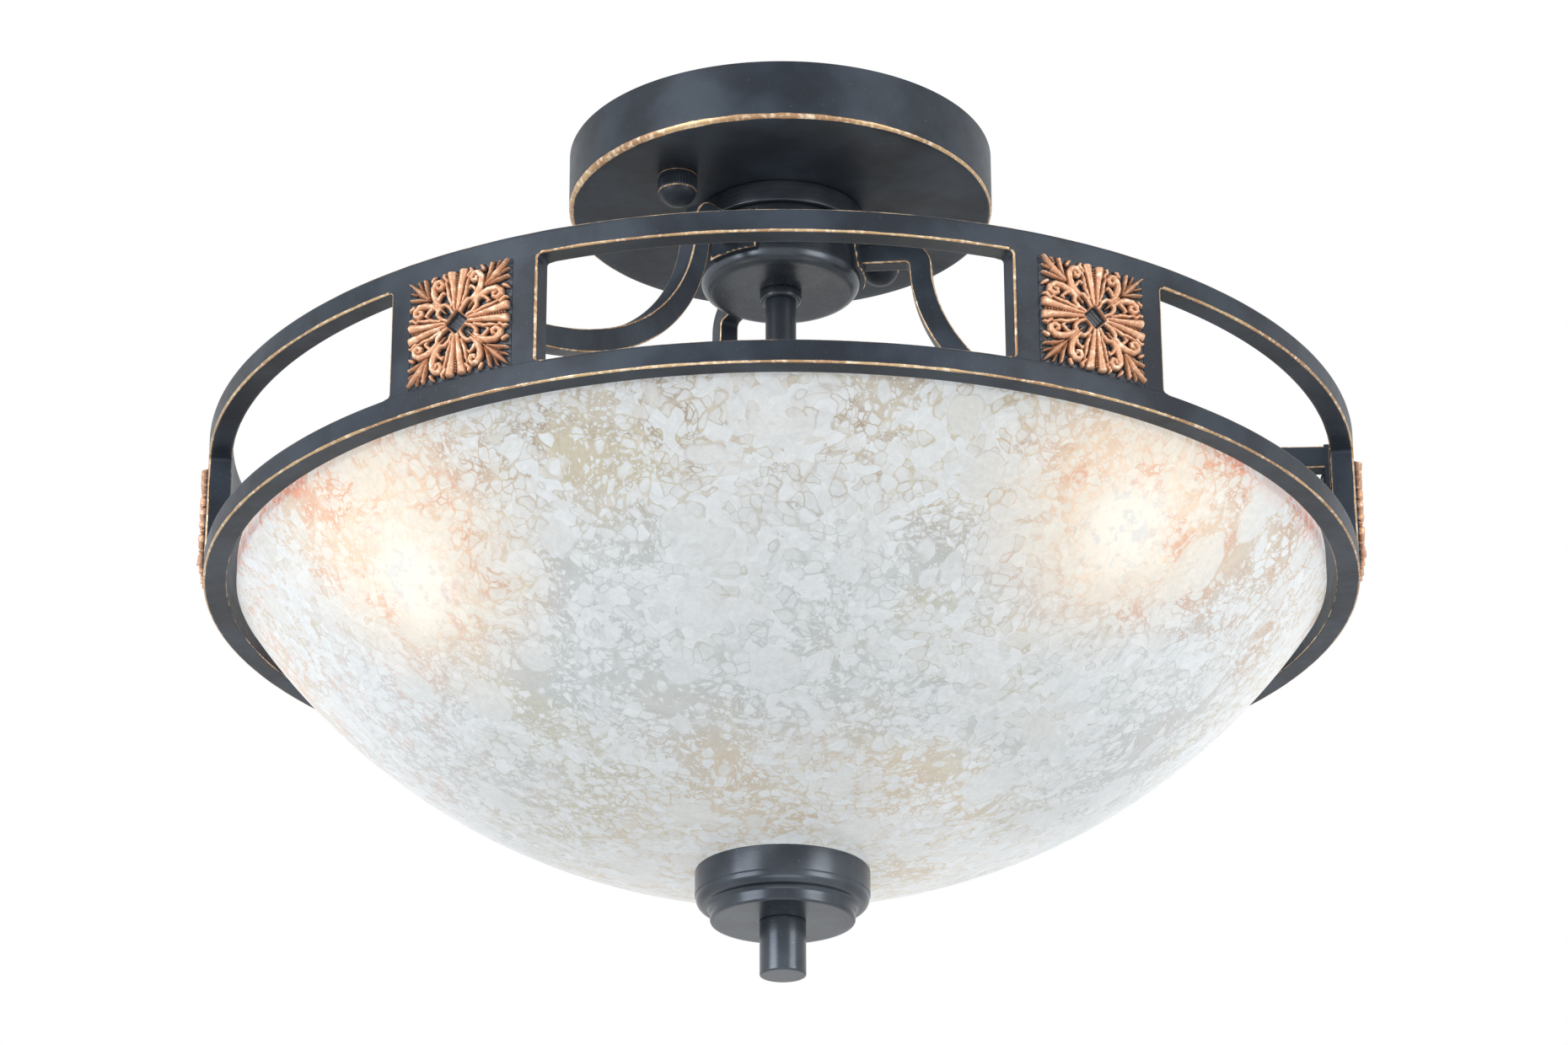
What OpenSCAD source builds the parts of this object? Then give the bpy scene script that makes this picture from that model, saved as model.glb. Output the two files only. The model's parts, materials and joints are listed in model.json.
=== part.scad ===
// Ceiling light: a glass bowl hung inside a windowed ring band with cast rosettes.
// Millimetres. The origin is the centre of the ceiling plane and +Z points up into the ceiling.
// The front faces -Y, and the whole light hangs below Z = 0.

/* [Ring band] */
// Outside diameter of the band
ring_d = 420; // [400:1:520]
// Thickness of the band, inside to outside
ring_t = 8.5; // [7:0.1:12]
// Height of the band over both hoops
ring_h = 55.5; // [50:0.5:80]
// Height of each hoop
rail_h = 8.2; // [6:0.1:10]
// Drop from the ceiling to the top of the band
ring_drop = 126; // [110:1:160]
// Width of a post round the band, in degrees
post_span = 16; // [15:0.5:24]
// Direction of the first post, in degrees from +X
post_turn = -0.5; // [-0.5:0.1:0]

/* [Rosettes] */
// Width of the rosette plate round the band
rosette_w = 39.5; // [30:0.5:42]
// Thickness of the rosette plate under its relief
rosette_t = 2.2; // [1.5:0.1:3.5]
// Height of the relief above the plate
relief_h = 2.8; // [1.5:0.1:4]
// Depth of the recess that the plate sits in
recess_depth = 1.8; // [1:0.1:3]
// Gap beside the plate in its recess
recess_gap = 0.75; // [0.2:0.05:1.5]

/* [Canopy] */
// Outside diameter of the canopy pan
canopy_d = 160; // [140:1:200]
// Depth of the canopy pan
canopy_h = 23.2; // [20:0.1:32]
// Sheet thickness of the canopy
canopy_wall = 1.2; // [0.8:0.1:2]
// Radius of the canopy's lower edge
canopy_edge = 2.2; // [2.1:0.1:6]

/* [Ceiling strap] */
// Direction of the strap, in degrees from +X
strap_turn = 41.5; // [0:0.5:90]
// Width of the strap
strap_w = 22; // [18:1:28]
// Thickness of the strap
strap_t = 2; // [1.5:0.1:3]
// Gap between the strap's ends and the canopy wall
strap_end_gap = 8; // [5:0.5:10]
// Circle that the two ceiling screw holes lie on
ceiling_hole_circle = 64; // [56:1:72]
// Diameter of a ceiling screw hole
ceiling_hole_d = 5.5; // [4:0.1:7]
// Distance between the two studs
stud_pitch = 102; // [96:1:108]
// Diameter of a stud
stud_d = 4; // [3:0.5:5]
// Width of the strap's side ear
ear_w = 24; // [18:1:30]
// Reach of the side ear from the centre
ear_reach = 44; // [40:1:50]

/* [Cap nuts] */
// Diameter of a cap nut
cap_nut_d = 14.3; // [10:0.1:18]
// Height of the straight knurled part
cap_nut_h = 6.7; // [5:0.1:10]
// Height of the dome
cap_dome_h = 5.5; // [3:0.1:7]

/* [Hub] */
// Outside diameter of the flange against the canopy
flange_d = 62.2; // [60:0.2:80]
// Height of the flange
flange_h = 8.4; // [6:0.2:12]
// Wall of the flange's skirt
flange_wall = 1.5; // [1:0.1:1.5]
// Thickness of the flange's plate
flange_plate = 3; // [2:0.5:4]
// Diameter of the cup at its neck
cup_neck_d = 56; // [50:0.5:57]
// Diameter of the cup at its widest
cup_wide_d = 60; // [58:0.5:70]
// Height of the cup below the flange
cup_h = 23.8; // [20:0.2:32]
// Radius of the cup's lower edge
cup_edge = 4.4; // [3.5:0.1:6]
// Wall of the cup
cup_wall = 3; // [2:0.1:3.4]

/* [Centre rod] */
// Outside diameter of the threaded tube
rod_d = 10; // [8:0.5:12]
// Bore of the threaded tube
rod_bore = 7; // [5:0.5:7.5]
// Wall of the sleeve over the tube
sleeve_wall = 0.7; // [0.5:0.1:1.5]
// Diameter of the collar under the hub
collar_d = 15.6; // [15:0.2:20]
// Height of the collar
collar_h = 3.9; // [2:0.1:6]
// Width of a rod nut across its flats
rod_nut_flats = 14; // [14:0.5:19]
// Height of a rod nut
rod_nut_h = 3.5; // [2.5:0.5:6]

/* [Arms] */
// Direction of the first arm, in degrees from +X
arm_turn = -6; // [-6:0.25:-5.5]
// Depth of the arm's bar, in its bending plane
arm_deep = 8.5; // [6:0.1:10]
// Width of the arm's bar
arm_wide = 7.5; // [6:0.1:10]
// Radius of the upright stretch's centre line
arm_upright_r = 53; // [50:0.5:60]
// Distance from the flange down to the level tab at the hub
arm_tab_drop = 6.3; // [5.5:0.1:7]
// Length over which the bar leaves the upright stretch
arm_bend_down = 44; // [30:1:50]
// Length over which the bar levels out towards the band
arm_bend_out = 101; // [80:1:110]
// Depth of the arm's end below the top of the band
arm_end_drop = 7.9; // [6:0.1:10]
// Thickness of the feet
foot_t = 2.2; // [1.8:0.1:3]
// Height of the feet
foot_h = 17; // [15:0.5:18]
// Width of the foot on the hub
hub_foot_w = 20; // [18:0.5:24]
// Width of the foot on the band
ring_foot_w = 10; // [8:0.5:11]
// Diameter of the foot screws
foot_screw_d = 3; // [2.5:0.5:4]
// Turn of the hub screws to either side of the arm, in degrees
foot_screw_turn = 13.5; // [12:0.5:15]

/* [Lamp cluster] */
// Direction of the first lamp, in degrees from +X
lamp_turn = -40; // [-60:1:-20]
// Height of the lamp axes below the band
lamp_drop = 7.5; // [0:0.5:12]
// Outside diameter of the cluster body
cluster_d = 44; // [40:0.5:46]
// Height of the cluster body
cluster_h = 27; // [24:0.5:32]
// Wall of the cluster body
cluster_wall = 3; // [2:0.5:3.5]
// Thickness of the cluster cover
cluster_cover_t = 2; // [1.5:0.5:3]
// Outside diameter of a lampholder
holder_d = 38; // [34:0.5:42]
// Length of a lampholder
holder_l = 44; // [44:0.5:50]
// Radius at which a lampholder starts
holder_start = 26; // [24:0.5:28]

/* [Lamps] */
// Diameter of the lamp cap
lamp_cap_d = 26.2; // [25.8:0.1:26.4]
// Length of the lamp cap
lamp_cap_l = 27; // [26:0.5:28]
// Diameter of the lamp bulb
lamp_d = 60; // [45:1:60]
// Length of the whole lamp
lamp_l = 108; // [100:1:110]
// Glass thickness of the lamp bulb
lamp_glass = 0.8; // [0.6:0.1:1.2]

/* [Glass bowl] */
// Depth of the bowl below its rim
bowl_depth = 104.4; // [90:0.2:130]
// Height of the upright rim
bowl_rim_h = 10; // [6:0.5:12]
// Height of the rim's top above the underside of the band
bowl_tuck = 10.5; // [6.5:0.5:14]
// Gap between the rim and the band
bowl_gap = 3.5; // [2:0.5:8]
// Glass thickness
glass_t = 4; // [3:0.5:6]
// Diameter of the hole in the glass
glass_hole_d = 12.4; // [12:0.2:16]

/* [Finial] */
// Diameter of the finial cup
finial_d = 62.6; // [56:0.2:80]
// Height of the straight band of the finial cup
finial_band_h = 9.3; // [7:0.1:14]
// Radius of the bead under the band
finial_bead = 3; // [2:0.1:3.5]
// Radius of the hollow under the bead
finial_hollow = 2; // [1.5:0.1:3]
// Height of the foot under the hollow
finial_foot_h = 3.4; // [2.5:0.1:6]
// Wall of the finial cup
finial_wall = 1.5; // [1:0.1:2]
// Diameter of the knob
knob_d = 16.6; // [15:0.2:24]
// Length of the knob
knob_l = 19.8; // [19:0.2:30]
// Travel of the bowl while the knob stays on its thread
bowl_travel = 12; // [6:0.5:12]

/* [Hidden] */
$fn = 96;

// Clearance of a screw or a nut on its thread, measured on the radius
thread_gap = 0.05;
// Gap left between seated pieces that can move apart
seat_gap = 0.1;
// Overlap that cuts run past a face
past = 1;
// Thread that shows past a nut
thread_end = 1.5;

// Colours
gunmetal = "#434b56";
satin_steel = "#59616b";
copper = "#b97f5b";
zinc = "#b9bcc0";
brass = "#c9a555";
porcelain = "#ece9e1";
scavo_glass = "#e6e4de";
frosted_glass = "#f6efdc";
clear_rubber = "#d8d8d4";
block_white = "#f0f0ec";
cable_grey = "#8f8f8f";

// Ring band levels and radii
ring_ro = ring_d / 2;
ring_ri = ring_ro - ring_t;
ring_top = -ring_drop;
ring_bottom = ring_top - ring_h;
window_top = ring_top - rail_h;
window_bottom = ring_bottom + rail_h;
window_h = window_top - window_bottom;
post_count = 6;
arm_count = 3;
recess_r = ring_ro - recess_depth;
recess_w = rosette_w + 2 * recess_gap;
rosette_h = window_h - 4 * seat_gap;

// Canopy and strap
canopy_r = canopy_d / 2;
canopy_floor = -canopy_h + canopy_wall;
strap_l = canopy_d - 2 * canopy_wall - 2 * strap_end_gap;
stud_r = stud_d / 2;
stud_hole_slack = 0.5;
stud_nut_h = 3.2;
stud_nut_slack = 3;
stud_nut_flats = stud_d + stud_nut_slack;
stud_end = -canopy_h - cap_nut_h - thread_end;
strap_cable_hole_d = 12;
ear_turn = strap_turn + 90;

// Terminal block under the ear
block_w = 30;
block_deep = 18;
block_h = 12;
block_edge = 4;
block_start = ear_reach - block_deep - block_edge;
lead_level = 4;
loom_z = -strap_t - block_h + lead_level;
block_screw_d = 3;
block_screw_r = block_start + block_deep / 2;
earth_r = 17;
earth_d = 4;

// Hub levels
flange_r = flange_d / 2;
flange_bottom = -canopy_h - flange_h;
cup_top = -canopy_h - flange_plate;
cup_bottom = flange_bottom - cup_h;
cup_neck_r = cup_neck_d / 2;
cup_wide_r = cup_wide_d / 2;
cup_neck_z = flange_bottom - cup_edge;
cup_wide_z = cup_bottom + cup_edge;
hub_foot_drop = 1.9;
hub_foot_top = flange_bottom - hub_foot_drop;
hub_foot_bottom = hub_foot_top - foot_h;
hub_screw_drop = 4.5;
hub_screw_z = hub_foot_top - hub_screw_drop;
hub_seat_sink = 0.3;
hub_seat_r = cup_wall_r(hub_screw_z) + foot_t - hub_seat_sink;
hub_screw_l = foot_t + cup_wall + thread_end;

// Domed screws of the feet
head_r_share = 0.93;
head_h_share = 0.7;
head_dome_share = 1.6;
screw_head_r = foot_screw_d * head_r_share;
screw_head_h = foot_screw_d * head_h_share;

// Feet on the band
ring_foot_top = ring_top - arm_end_drop + arm_deep / 2;
ring_screw_rise = 4.3;
ring_screw_grip = 5;
ring_screw_z = ring_foot_top - foot_h + ring_screw_rise;
ring_screw_l = foot_t + ring_screw_grip;

// Rod levels
rod_r = rod_d / 2;
rod_hole_r = rod_r + thread_gap;
washer_t = 1;
washer_margin = 3;
washer_r = rod_nut_flats / 2 + washer_margin;
rod_top = canopy_floor + washer_t + rod_nut_h + thread_end;
collar_bottom = cup_bottom - collar_h;
sleeve_r = rod_hole_r + sleeve_wall;

// Lamp cluster levels
lamp_count = 3;
lamp_z = ring_bottom - lamp_drop;
cluster_r = cluster_d / 2;
cluster_top = lamp_z + cluster_h / 2;
cluster_bottom = lamp_z - cluster_h / 2;
sleeve_bottom = cluster_top + cluster_cover_t;
nipple_start = cluster_r - cluster_wall - thread_end;
nipple_l = 15.5;
nipple_end = nipple_start + nipple_l;
holder_back_l = 14;
holder_floor = holder_start + holder_back_l;
holder_base_t = 2;
holder_end = holder_start + holder_l;
shell_gap = 0.08;
shell_wall = 1.2;
shell_ri = lamp_cap_d / 2 + shell_gap;
shell_ro = shell_ri + shell_wall;
holder_bore_r = shell_ro + seat_gap;
shell_inset = 1;
shell_end = holder_end - shell_inset;
contact_t = 1.7;
tip_gap = 0.3;
lamp_tip = holder_floor + contact_t + tip_gap;
lamp_cap_end = lamp_tip + lamp_cap_l;
lamp_end = lamp_tip + lamp_l;
lamp_globe_x = lamp_end - lamp_d / 2;
lamp_cap_wall = 1.1;
lamp_neck_r = lamp_cap_d / 2 - lamp_cap_wall;

// Wiring sizes
loom_r = 2.2;
lead_r = 1.6;
lead_hole_r = 2;

// Bowl: a spherical cap through the rim corner and the lowest point
bowl_rim_r = ring_ri - bowl_gap;
bowl_rim_top = ring_bottom + bowl_tuck;
bowl_corner_z = bowl_rim_top - bowl_rim_h;
bowl_bottom = bowl_corner_z - bowl_depth;
bowl_r = (bowl_rim_r * bowl_rim_r + bowl_depth * bowl_depth) / (2 * bowl_depth);
bowl_centre_z = bowl_bottom + bowl_r;
glass_hole_r = glass_hole_d / 2;

// Pieces that clamp the bowl
gasket_gap = 0.02;
upper_gasket_r = 18;
upper_gasket_t = 1.6;
upper_gasket_top = bowl_inner_z(upper_gasket_r) + upper_gasket_t;
stop_bottom = upper_gasket_top + 2 * seat_gap;
stop_plate_r = 20;
stop_plate_t = 1.5;
finial_r = finial_d / 2;
lower_gasket_t = 1;
lower_gasket_inset = 0.3;
lower_gasket_w = 2.6;
lower_gasket_ro = finial_r - lower_gasket_inset;
lower_gasket_ri = lower_gasket_ro - lower_gasket_w;
finial_top = bowl_outer_z(finial_r) - lower_gasket_t;
finial_step = 0.4;
finial_ledge_h = 1;
finial_bead_top = finial_top - finial_band_h - finial_ledge_h;
finial_bead_x = finial_r - finial_step - finial_bead;
finial_foot_r = finial_bead_x - finial_hollow;
finial_foot_top = finial_bead_top - finial_bead - finial_hollow;
finial_bottom = finial_foot_top - finial_foot_h;
knob_top = finial_bottom - seat_gap;
knob_bottom = knob_top - knob_l;
knob_bore_margin = 4;
knob_bore_l = bowl_travel + knob_bore_margin;
rod_end_gap = 1.2;
rod_end = knob_top - knob_bore_l + rod_end_gap;

// Every node, in the order of assembly

// Height of the bowl's outer surface at radius r
function bowl_outer_z(r) = bowl_centre_z - sqrt(bowl_r * bowl_r - r * r);

// Height of the bowl's inner surface at radius r
function bowl_inner_z(r) = bowl_centre_z - sqrt(pow(bowl_r - glass_t, 2) - r * r);

// Radius of the hub cup's wall at height z
function cup_wall_r(z) =
    cup_neck_r + (cup_wide_r - cup_neck_r) * (cup_neck_z - z) / (cup_neck_z - cup_wide_z);

// Directions of the arms, the posts and the lamps
function arm_angle(i) = arm_turn - 360 / arm_count * (i - 1);
function post_angle(i) = post_turn + 360 / post_count * (i - 1);
function lamp_angle(i) = lamp_turn - 360 / lamp_count * (i - 1);

// Points along an arc, from angle a0 to angle a1
function arc(centre, r, a0, a1, steps = 8) =
    [for (k = [0:steps]) let (a = a0 + (a1 - a0) * k / steps) centre + r * [cos(a), sin(a)]];

// A point on a cubic curve, its direction there, and a point beside it
function curve(p, t) =
    pow(1 - t, 3) * p[0] + 3 * pow(1 - t, 2) * t * p[1] + 3 * (1 - t) * t * t * p[2] + pow(t, 3) * p[3];
function curve_way(p, t) =
    pow(1 - t, 2) * (p[1] - p[0]) + 2 * (1 - t) * t * (p[2] - p[1]) + t * t * (p[3] - p[2]);
function curve_side(p, t, d) =
    let (v = curve_way(p, t)) curve(p, t) + d * [-v[1], v[0]] / norm(v);

// A round tube that hangs down from a level
module tube(top, length, r_out, r_in) {
    translate([0, 0, top - length]) difference() {
        cylinder(r = r_out, h = length);
        translate([0, 0, -past]) cylinder(r = r_in, h = length + 2 * past);
    }
}

// A hexagonal nut that hangs down from a level
module hex_nut(top, height, flats, bore_r) {
    translate([0, 0, top - height]) difference() {
        cylinder(r = flats / 2 / cos(30), h = height, $fn = 6);
        translate([0, 0, -past]) cylinder(r = bore_r, h = height + 2 * past, $fn = 48);
    }
}

// Half section of a round pan that stands on its floor
module pan_section(r, h, edge) {
    square([r - edge, h]);
    translate([0, edge]) square([r, h - edge]);
    translate([r - edge, edge]) circle(r = edge, $fn = 32);
}

// A domed screw along +X: its head starts at radius seat, and its shank runs back from there
module radial_screw(seat, shank_l) {
    dome_r = screw_head_r * head_dome_share;
    rotate([0, 90, 0]) {
        translate([0, 0, seat - shank_l])
            cylinder(r = foot_screw_d / 2, h = shank_l + screw_head_h / 2, $fn = 32);
        translate([0, 0, seat]) rotate_extrude($fn = 48) intersection() {
            square([screw_head_r, screw_head_h]);
            translate([0, screw_head_h - dome_r]) circle(r = dome_r, $fn = 96);
        }
    }
}

// Places children at both studs, one facing each way along the strap
module at_studs() {
    for (side = [-1, 1]) rotate([0, 0, strap_turn]) translate([side * stud_pitch / 2, 0, 0]) children();
}

// Turns children from an upright axis onto the axis of lamp i
module on_lamp_axis(i) {
    rotate([0, 0, lamp_angle(i)]) translate([0, 0, lamp_z]) rotate([0, 90, 0]) children();
}

// Steel strap with a side ear, screwed to the ceiling
module mounting_strap() {
    color(zinc) difference() {
        translate([0, 0, -strap_t]) union() {
            rotate([0, 0, strap_turn]) translate([-strap_l / 2, -strap_w / 2, 0])
                cube([strap_l, strap_w, strap_t]);
            rotate([0, 0, ear_turn]) translate([0, -ear_w / 2, 0]) cube([ear_reach, ear_w, strap_t]);
        }
        translate([0, 0, -strap_t - past]) {
            cylinder(d = strap_cable_hole_d, h = strap_t + 2 * past);
            rotate([0, 0, strap_turn]) {
                for (side = [-1, 1]) translate([side * ceiling_hole_circle / 2, 0, 0])
                    cylinder(d = ceiling_hole_d, h = strap_t + 2 * past, $fn = 48);
                translate([earth_r, 0, 0])
                    cylinder(r = earth_d / 2 + thread_gap, h = strap_t + 2 * past, $fn = 32);
            }
            at_studs() cylinder(r = stud_r + thread_gap, h = strap_t + 2 * past, $fn = 32);
            rotate([0, 0, ear_turn]) translate([block_screw_r, 0, 0])
                cylinder(r = block_screw_d / 2 + thread_gap, h = strap_t + 2 * past, $fn = 32);
        }
    }
}

// Two threaded studs that hang from the strap
module strap_studs() {
    color(zinc) at_studs() translate([0, 0, stud_end])
        cylinder(r = stud_r, h = -stud_end - 3 * seat_gap, $fn = 32);
}

// Lock nuts that hold the studs in the strap
module strap_nuts() {
    color(zinc) at_studs() hex_nut(-strap_t, stud_nut_h, stud_nut_flats, stud_r + thread_gap);
}

// Three-pole terminal block under the ear
module terminal_block() {
    poles = 3;
    pole_pitch = block_w / poles;
    lead_hole_l = 4;
    side_hole_r = 1.8;
    pole_screw_r = 1;
    pole_screw_l = 4;
    color(block_white) rotate([0, 0, ear_turn]) difference() {
        translate([block_start, -block_w / 2, -strap_t - block_h]) cube([block_deep, block_w, block_h]);
        translate([block_start - past, 0, loom_z]) rotate([0, 90, 0]) {
            cylinder(r = loom_r + thread_gap, h = lead_hole_l + past, $fn = 32);
            for (side = [-1, 1]) translate([0, side * pole_pitch, 0])
                cylinder(r = side_hole_r, h = lead_hole_l + past, $fn = 32);
        }
        for (side = [-1, 1]) translate([block_screw_r, side * pole_pitch / 2, -strap_t - block_h - past])
            cylinder(r = pole_screw_r, h = pole_screw_l + past, $fn = 32);
        translate([block_screw_r, 0, -strap_t - block_h - past])
            cylinder(r = block_screw_d / 2 + thread_gap, h = block_h + 2 * past, $fn = 32);
    }
}

// Screw that holds the terminal block to the ear
module block_screw() {
    head_h = 2;
    head_r = 2.7;
    color(zinc) rotate([0, 0, ear_turn]) translate([block_screw_r, 0, -strap_t - block_h - head_h]) {
        cylinder(r = head_r, h = head_h, $fn = 32);
        cylinder(r = block_screw_d / 2, h = head_h + block_h + strap_t - 3 * seat_gap, $fn = 32);
    }
}

// Brass earth screw in the strap
module earth_screw() {
    head_h = 2.6;
    color(brass) rotate([0, 0, strap_turn]) translate([earth_r, 0, -strap_t - head_h]) {
        cylinder(r = earth_d, h = head_h, $fn = 32);
        cylinder(r = earth_d / 2, h = head_h + strap_t - 3 * seat_gap, $fn = 32);
    }
}

// Round pan that covers the strap
module canopy() {
    color(gunmetal) difference() {
        translate([0, 0, -canopy_h]) rotate_extrude($fn = 128) difference() {
            pan_section(canopy_r, canopy_h, canopy_edge);
            translate([0, canopy_wall])
                pan_section(canopy_r - canopy_wall, canopy_h, canopy_edge - canopy_wall);
        }
        translate([0, 0, -canopy_h - past]) {
            cylinder(r = rod_hole_r, h = canopy_wall + 2 * past);
            at_studs() cylinder(r = stud_r + stud_hole_slack, h = canopy_wall + 2 * past, $fn = 32);
        }
    }
}

// Knurled cap nut on one stud
module cap_nut(side) {
    dome_r = (pow(cap_nut_d / 2, 2) + cap_dome_h * cap_dome_h) / (2 * cap_dome_h);
    bore_gap = 0.6;
    bore_l = -canopy_h - stud_end + bore_gap;
    color(gunmetal) rotate([0, 0, strap_turn]) translate([side * stud_pitch / 2, 0, -canopy_h - seat_gap])
        mirror([0, 0, 1]) difference() {
            rotate_extrude($fn = 64) {
                square([cap_nut_d / 2, cap_nut_h]);
                intersection() {
                    translate([0, cap_nut_h + cap_dome_h - dome_r]) circle(r = dome_r, $fn = 96);
                    translate([0, cap_nut_h - past]) square([cap_nut_d / 2, cap_dome_h + past]);
                }
            }
            translate([0, 0, -past]) cylinder(r = stud_r + thread_gap, h = bore_l + past, $fn = 32);
        }
}

// Inverted dish between the canopy and the hub cup
module hub_flange() {
    color(satin_steel) difference() {
        tube(-canopy_h, flange_h, flange_r, rod_hole_r);
        translate([0, 0, flange_bottom - past])
            cylinder(r = flange_r - flange_wall, h = flange_h - flange_plate + past);
    }
}

// Solid of revolution through the hub cup's wall, widened by extra
module hub_side(extra) {
    rotate_extrude($fn = 128) polygon([
        [0, cup_top], [cup_neck_r + extra, cup_top], [cup_neck_r + extra, cup_neck_z],
        [cup_wide_r + extra, cup_wide_z], [0, cup_wide_z]
    ]);
}

// Radial holes for the screws of the hub feet
module hub_screw_holes() {
    hole_room = 6;
    hole_l = cup_wall + foot_t + hole_room;
    for (i = [1:arm_count], side = [-1, 1]) rotate([0, 0, arm_angle(i) + side * foot_screw_turn])
        translate([cup_neck_r - cup_wall - past, 0, hub_screw_z]) rotate([0, 90, 0])
            cylinder(r = foot_screw_d / 2 + thread_gap, h = hole_l, $fn = 32);
}

// Spun cup that carries the three arms
module hub_cup() {
    outside = concat(
        [[0, cup_top], [cup_neck_r, cup_top], [cup_neck_r, cup_neck_z]],
        arc([cup_wide_r - cup_edge, cup_wide_z], cup_edge, 0, -90),
        [[0, cup_bottom]]
    );
    inside = [
        [0, cup_top + past], [cup_neck_r - cup_wall, cup_top + past], [cup_neck_r - cup_wall, cup_neck_z],
        [cup_wide_r - cup_wall, cup_wide_z], [cup_wide_r - cup_edge, cup_bottom + cup_wall],
        [0, cup_bottom + cup_wall]
    ];
    color(satin_steel) difference() {
        rotate_extrude($fn = 128) difference() {
            polygon(outside);
            polygon(inside);
        }
        translate([0, 0, cup_bottom - past]) cylinder(r = rod_hole_r, h = cup_wall + 2 * past);
        hub_screw_holes();
    }
}

// Round-edged collar between the hub cup and the sleeve
module rod_collar() {
    edge = 1;
    color(satin_steel) translate([0, 0, collar_bottom]) difference() {
        rotate_extrude($fn = 64) pan_section(collar_d / 2, collar_h, edge);
        translate([0, 0, -past]) cylinder(r = rod_hole_r, h = collar_h + 2 * past);
    }
}

// Sleeve that hides the rod down to the lamp cluster
module rod_sleeve() {
    color(gunmetal) tube(collar_bottom, collar_bottom - sleeve_bottom, sleeve_r, rod_hole_r);
}

// Threaded tube that everything hangs on
module centre_rod() {
    color(zinc) difference() {
        tube(rod_top, rod_top - rod_end, rod_r, rod_bore / 2);
        for (i = [1:lamp_count]) on_lamp_axis(i) cylinder(r = lead_hole_r, h = rod_r + past, $fn = 32);
    }
}

// Nuts on the rod: in the canopy, under the cluster and above the bowl
module rod_nuts() {
    color(zinc) {
        hex_nut(canopy_floor + washer_t + rod_nut_h, rod_nut_h, rod_nut_flats, rod_hole_r);
        hex_nut(cluster_bottom - washer_t, rod_nut_h, rod_nut_flats, rod_hole_r);
        hex_nut(stop_bottom + stop_plate_t + rod_nut_h, rod_nut_h, rod_nut_flats, rod_hole_r);
    }
}

// Washers on the rod: in the canopy and under the cluster
module rod_washers() {
    color(zinc) {
        tube(canopy_floor + washer_t, washer_t, washer_r, rod_hole_r);
        tube(cluster_bottom, washer_t, washer_r, rod_hole_r);
    }
}

// Leads from the terminal block, down the rod and out to the lampholders
module wiring() {
    tail = 3;
    corner_extra = 0.4;
    branch_less = 0.2;
    block_reach = 3;
    color(cable_grey) {
        translate([0, 0, lamp_z - tail]) cylinder(r = loom_r, h = loom_z - lamp_z + tail, $fn = 32);
        translate([0, 0, loom_z]) {
            sphere(r = loom_r + corner_extra, $fn = 32);
            rotate([0, 0, ear_turn]) rotate([0, 90, 0])
                cylinder(r = loom_r - branch_less, h = block_start + block_reach, $fn = 32);
        }
        for (i = [1:lamp_count]) on_lamp_axis(i)
            cylinder(r = lead_r, h = holder_floor - holder_base_t, $fn = 32);
    }
}

// Side view of one arm: a level tab at the hub, then a bar that bends down and out
module arm_outline() {
    start_lift = 1.5;
    start_lean = 0.5;
    tab_top = flange_bottom - arm_tab_drop;
    end_z = ring_top - arm_end_drop;
    start = [arm_upright_r, tab_top - arm_deep + start_lift];
    start_pull = start + [start_lean, -arm_bend_down];
    route = [start, start_pull, [ring_ri - arm_bend_out, end_z], [ring_ri + past, end_z]];
    steps = 28;
    translate([cup_wide_r, tab_top - arm_deep]) square([arm_upright_r + arm_deep / 2 - cup_wide_r, arm_deep]);
    polygon(concat(
        [for (k = [0:steps]) curve_side(route, k / steps, arm_deep / 2)],
        [for (k = [steps:-1:0]) curve_side(route, k / steps, -arm_deep / 2)]
    ));
}

// Flat seats for the screw heads on the curved hub foot
module hub_screw_seats() {
    seat_room = 0.3;
    seat_l = 5;
    for (side = [-1, 1]) rotate([0, 0, side * foot_screw_turn]) translate([hub_seat_r, 0, hub_screw_z])
        rotate([0, 90, 0]) cylinder(r = screw_head_r + seat_room, h = seat_l, $fn = 48);
}

// Bent arm with its feet, from the hub cup to the band
module arm(i) {
    color(gunmetal) difference() {
        rotate([0, 0, arm_angle(i)]) difference() {
            union() {
                intersection() {
                    rotate([90, 0, 0]) linear_extrude(height = arm_wide, center = true) arm_outline();
                    translate([0, 0, ring_bottom]) cylinder(r = ring_ri, h = -ring_bottom, $fn = 256);
                }
                intersection() {
                    difference() {
                        hub_side(foot_t);
                        hub_side(0);
                    }
                    translate([0, -hub_foot_w / 2, hub_foot_bottom])
                        cube([cup_wide_r + foot_t + past, hub_foot_w, foot_h]);
                }
                intersection() {
                    translate([ring_ri - foot_t, -ring_foot_w / 2, ring_foot_top - foot_h])
                        cube([foot_t + past, ring_foot_w, foot_h]);
                    translate([0, 0, ring_bottom]) cylinder(r = ring_ri, h = -ring_bottom, $fn = 256);
                }
            }
            hub_screw_seats();
        }
        hub_screw_holes();
        ring_screw_holes();
    }
}

// Radial holes for the screws of the ring feet
module ring_screw_holes() {
    hole_room = 0.5;
    hole_l = ring_screw_l + hole_room + past;
    for (i = [1:arm_count]) rotate([0, 0, arm_angle(i)]) translate([ring_ri - foot_t - past, 0, ring_screw_z])
        rotate([0, 90, 0]) cylinder(r = foot_screw_d / 2 + thread_gap, h = hole_l, $fn = 32);
}

// Screws that hold the arms to the hub cup
module hub_screws() {
    color(satin_steel) for (i = [1:arm_count], side = [-1, 1])
        rotate([0, 0, arm_angle(i) + side * foot_screw_turn]) translate([0, 0, hub_screw_z])
            radial_screw(hub_seat_r, hub_screw_l);
}

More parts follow.
